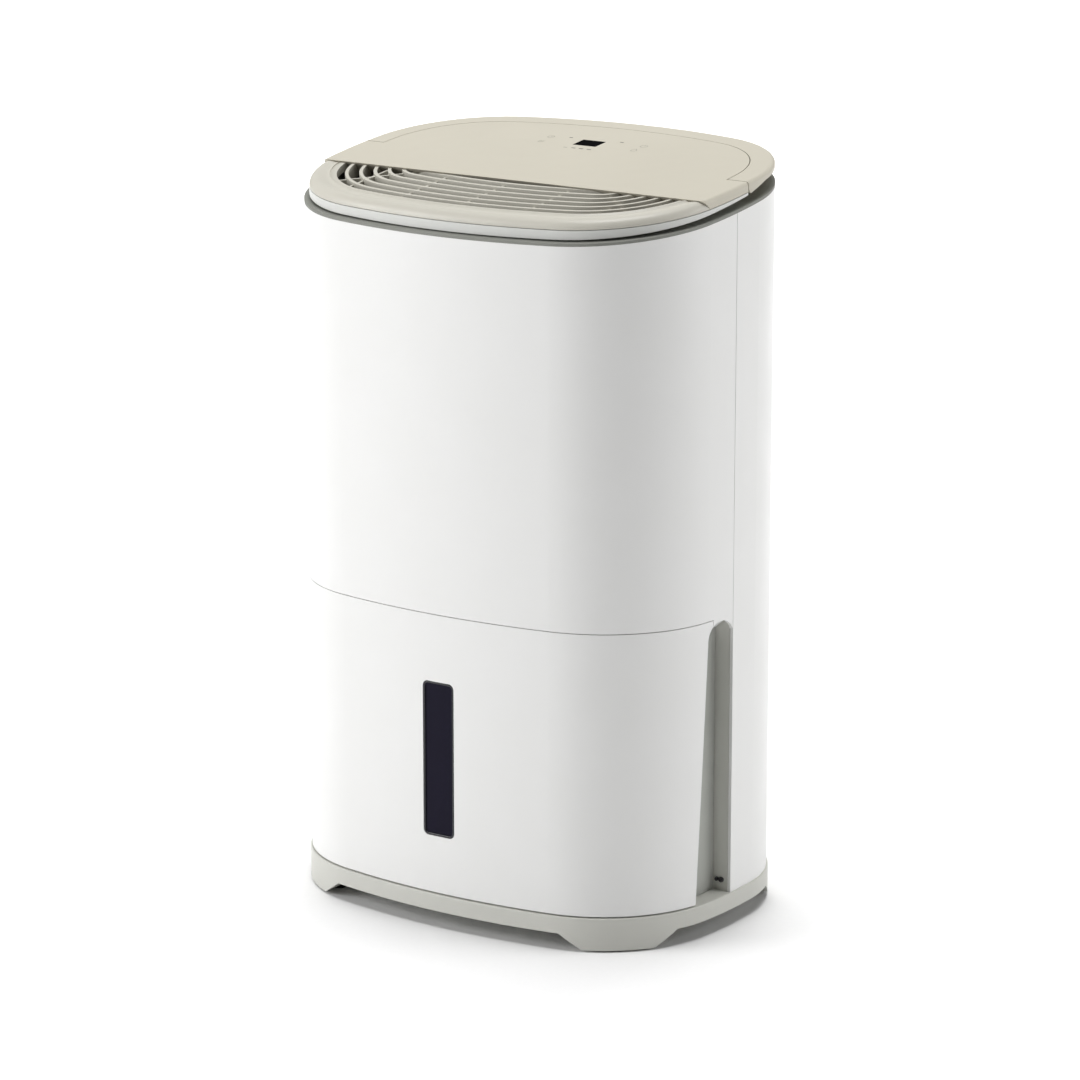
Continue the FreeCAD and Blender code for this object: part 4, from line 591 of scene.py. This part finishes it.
# ------------------------------------------------------------------ screws
def screw_head(place, outward, radius, height):
    """Pan head on a polar grid: a dome, less a cross-shaped pocket with sloping walls.

    Dome: height times the root of one minus (r/R) to the fourth. The pocket's depth is largest where
    the point lies within a narrow distance of either arm of the cross.
    """
    inner = np.linspace(0.02, 0.6, INNER_RINGS)
    outer = np.linspace(0.68, 1.0, HEAD_RINGS - INNER_RINGS)
    r = np.concatenate([inner, outer])[:, None] * radius
    angle = np.linspace(0, 2 * math.pi, HEAD_STEPS, endpoint=False)[None]
    u = r * np.cos(angle)
    v = r * np.sin(angle)
    dome = height * np.sqrt(np.clip(1 - (r / radius) ** 4, 0, 1)) + 0 * angle
    arm = np.minimum(np.abs(u), np.abs(v)) / (CROSS_ARM * radius)
    reach = np.maximum(np.abs(u), np.abs(v)) / (CROSS_REACH * radius)
    pocket = np.clip(ARM_WALL - arm, 0, 1) * np.clip((END_WALL - reach) * END_STEEPNESS, 0, 1)
    rise = dome - CROSS_DEPTH * height * pocket
    outward = np.array(outward, dtype=float)
    side = np.cross(outward, (0, 0, 1.0))
    up = np.cross(side, outward)
    points = np.array(place) + u[..., None] * side + v[..., None] * up + rise[..., None] * outward
    faces = grid_faces(HEAD_RINGS, HEAD_STEPS, closed_columns=True)
    centre = points[0].mean(axis=0)
    flat = points.reshape(-1, 3)
    step = np.arange(HEAD_STEPS)
    cap = np.stack([np.full(HEAD_STEPS, len(flat)), (step + 1) % HEAD_STEPS, step], axis=1)
    return np.vstack([flat, centre]), faces[:, ::-1], cap


def casing_screw_heads():
    """Cross-recessed heads at the CAD screws: one in each box from cell_boxes, which is two to a screw."""
    points, faces, count = [], [], 0
    for low, high in cell_boxes(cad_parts["casing_screws"]):
        middle = (low + high) / 2
        rearward = middle[1] > REAR_SIDE
        face = high[1] if rearward else low[1]
        outward = (0, 1, 0) if rearward else (0, -1, 0)
        foot = face - HEAD_HEIGHT if rearward else face + HEAD_HEIGHT
        place = (middle[0], foot, middle[2])
        radius = (high[0] - low[0]) / 2
        head, quads, cap = screw_head(place, outward, radius, HEAD_HEIGHT)
        points.append(head)
        faces += (quads + count).tolist() + (cap + count).tolist()
        count += len(head)
    mesh = bpy.data.meshes.new("casing_screw_heads")
    mesh.from_pydata(np.concatenate(points).tolist(), [], faces)
    piece = put_piece(mesh, finish_of("casing_screws"), "cabinet")
    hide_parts("casing_screws")


def cell_boxes(node):
    """Low and high corners of a node's points in each cell of the upright plane across the front.

    A solid that lies over the edge of a cell gives a box on each side of it, as every screw does here.
    """
    mesh = node.data
    points = np.empty(len(mesh.vertices) * 3)
    mesh.vertices.foreach_get("co", points)
    points = points.reshape(-1, 3)
    cells = np.round(points[:, [0, 2]] / SCREW_CELL).astype(int)
    boxes = []
    for cell in np.unique(cells, axis=0):
        inside = points[(cells == cell).all(axis=1)]
        boxes.append((inside.min(axis=0), inside.max(axis=0)))
    return boxes


# ------------------------------------------------------------------ stage
def stage():
    """Plain pale floor, in surroundings that are white to the camera and dim to everything else."""
    mesh = bpy.data.meshes.new("studio_floor")
    corners = [(-FLOOR_HALF, -FLOOR_HALF, 0), (FLOOR_HALF, -FLOOR_HALF, 0),
               (FLOOR_HALF, FLOOR_HALF, 0), (-FLOOR_HALF, FLOOR_HALF, 0)]
    mesh.from_pydata(corners, [], [(0, 1, 2, 3)])
    paper, tree, shader, where = blank("studio_paper_white")
    fibre = add(tree, "TexNoise", {"Vector": where}, Scale=grain_scale(4), Detail=3.0)
    tint = add(tree, "MixRGB", {"Fac": fibre.outputs["Fac"]}, Color1=srgb("#F7F7F7"), Color2=srgb("#F3F3F3"))
    set_shader(shader, Roughness=0.9)
    tree.links.new(tint.outputs["Color"], shader.inputs["Base Color"])
    mesh.materials.append(paper)
    floor = bpy.data.objects.new("studio_floor", mesh)
    bpy.context.scene.collection.objects.link(floor)
    world = bpy.data.worlds.new("studio_surround")
    world.use_nodes = True
    tree = world.node_tree
    seen = add(tree, "LightPath")
    strength = add(tree, "MapRange", {"Value": seen.outputs["Is Camera Ray"]}, To_Min=AMBIENT, To_Max=1.0)
    tree.links.new(strength.outputs["Result"], tree.nodes["Background"].inputs["Strength"])
    tree.nodes["Background"].inputs["Color"].default_value = (1, 1, 1, 1)
    bpy.context.scene.world = world
    bpy.context.scene.view_settings.view_transform = "Standard"


def aim(thing, place, target):
    """Turns an object at a place so that its -Z axis looks at the target."""
    thing.location = place
    direction = (target - thing.location).normalized()
    thing.rotation_euler = direction.to_track_quat("-Z", "Y").to_euler()


def lights():
    """An overhead scrim as a soft sun, a softbox on each side and a wash over the floor behind."""
    scrim = bpy.data.lights.new("overhead_scrim", "SUN")
    scrim.energy = SUN_STRENGTH
    scrim.angle = math.radians(SUN_ANGLE)
    bpy.context.scene.collection.objects.link(bpy.data.objects.new("overhead_scrim", scrim))
    for name, (place, target, width, height, power) in SOFTBOXES.items():
        lamp = bpy.data.lights.new(name, "AREA")
        lamp.shape = "RECTANGLE"
        lamp.size = width
        lamp.size_y = height
        lamp.energy = power
        thing = bpy.data.objects.new(name, lamp)
        bpy.context.scene.collection.objects.link(thing)
        thing.visible_camera = False
        thing.visible_glossy = name != "floor_wash"
        aim(thing, Vector(place), Vector(target))


def camera():
    """Long lens off the right front corner, well above the lid and looking a little down."""
    lens = bpy.data.cameras.new("viewpoint")
    lens.lens = LENS
    lens.sensor_width = SENSOR_WIDTH
    lens.clip_end = CLIP_END
    thing = bpy.data.objects.new("viewpoint", lens)
    bpy.context.scene.collection.objects.link(thing)
    thing.location = CAMERA_PLACE
    thing.rotation_euler = (math.radians(90 - CAMERA_DOWN), 0.0, math.radians(CAMERA_TURN))
    bpy.context.scene.camera = thing


camera()
stage()
lights()
dress_nodes()
printed_marks()
window_trim()
casing_screw_heads()
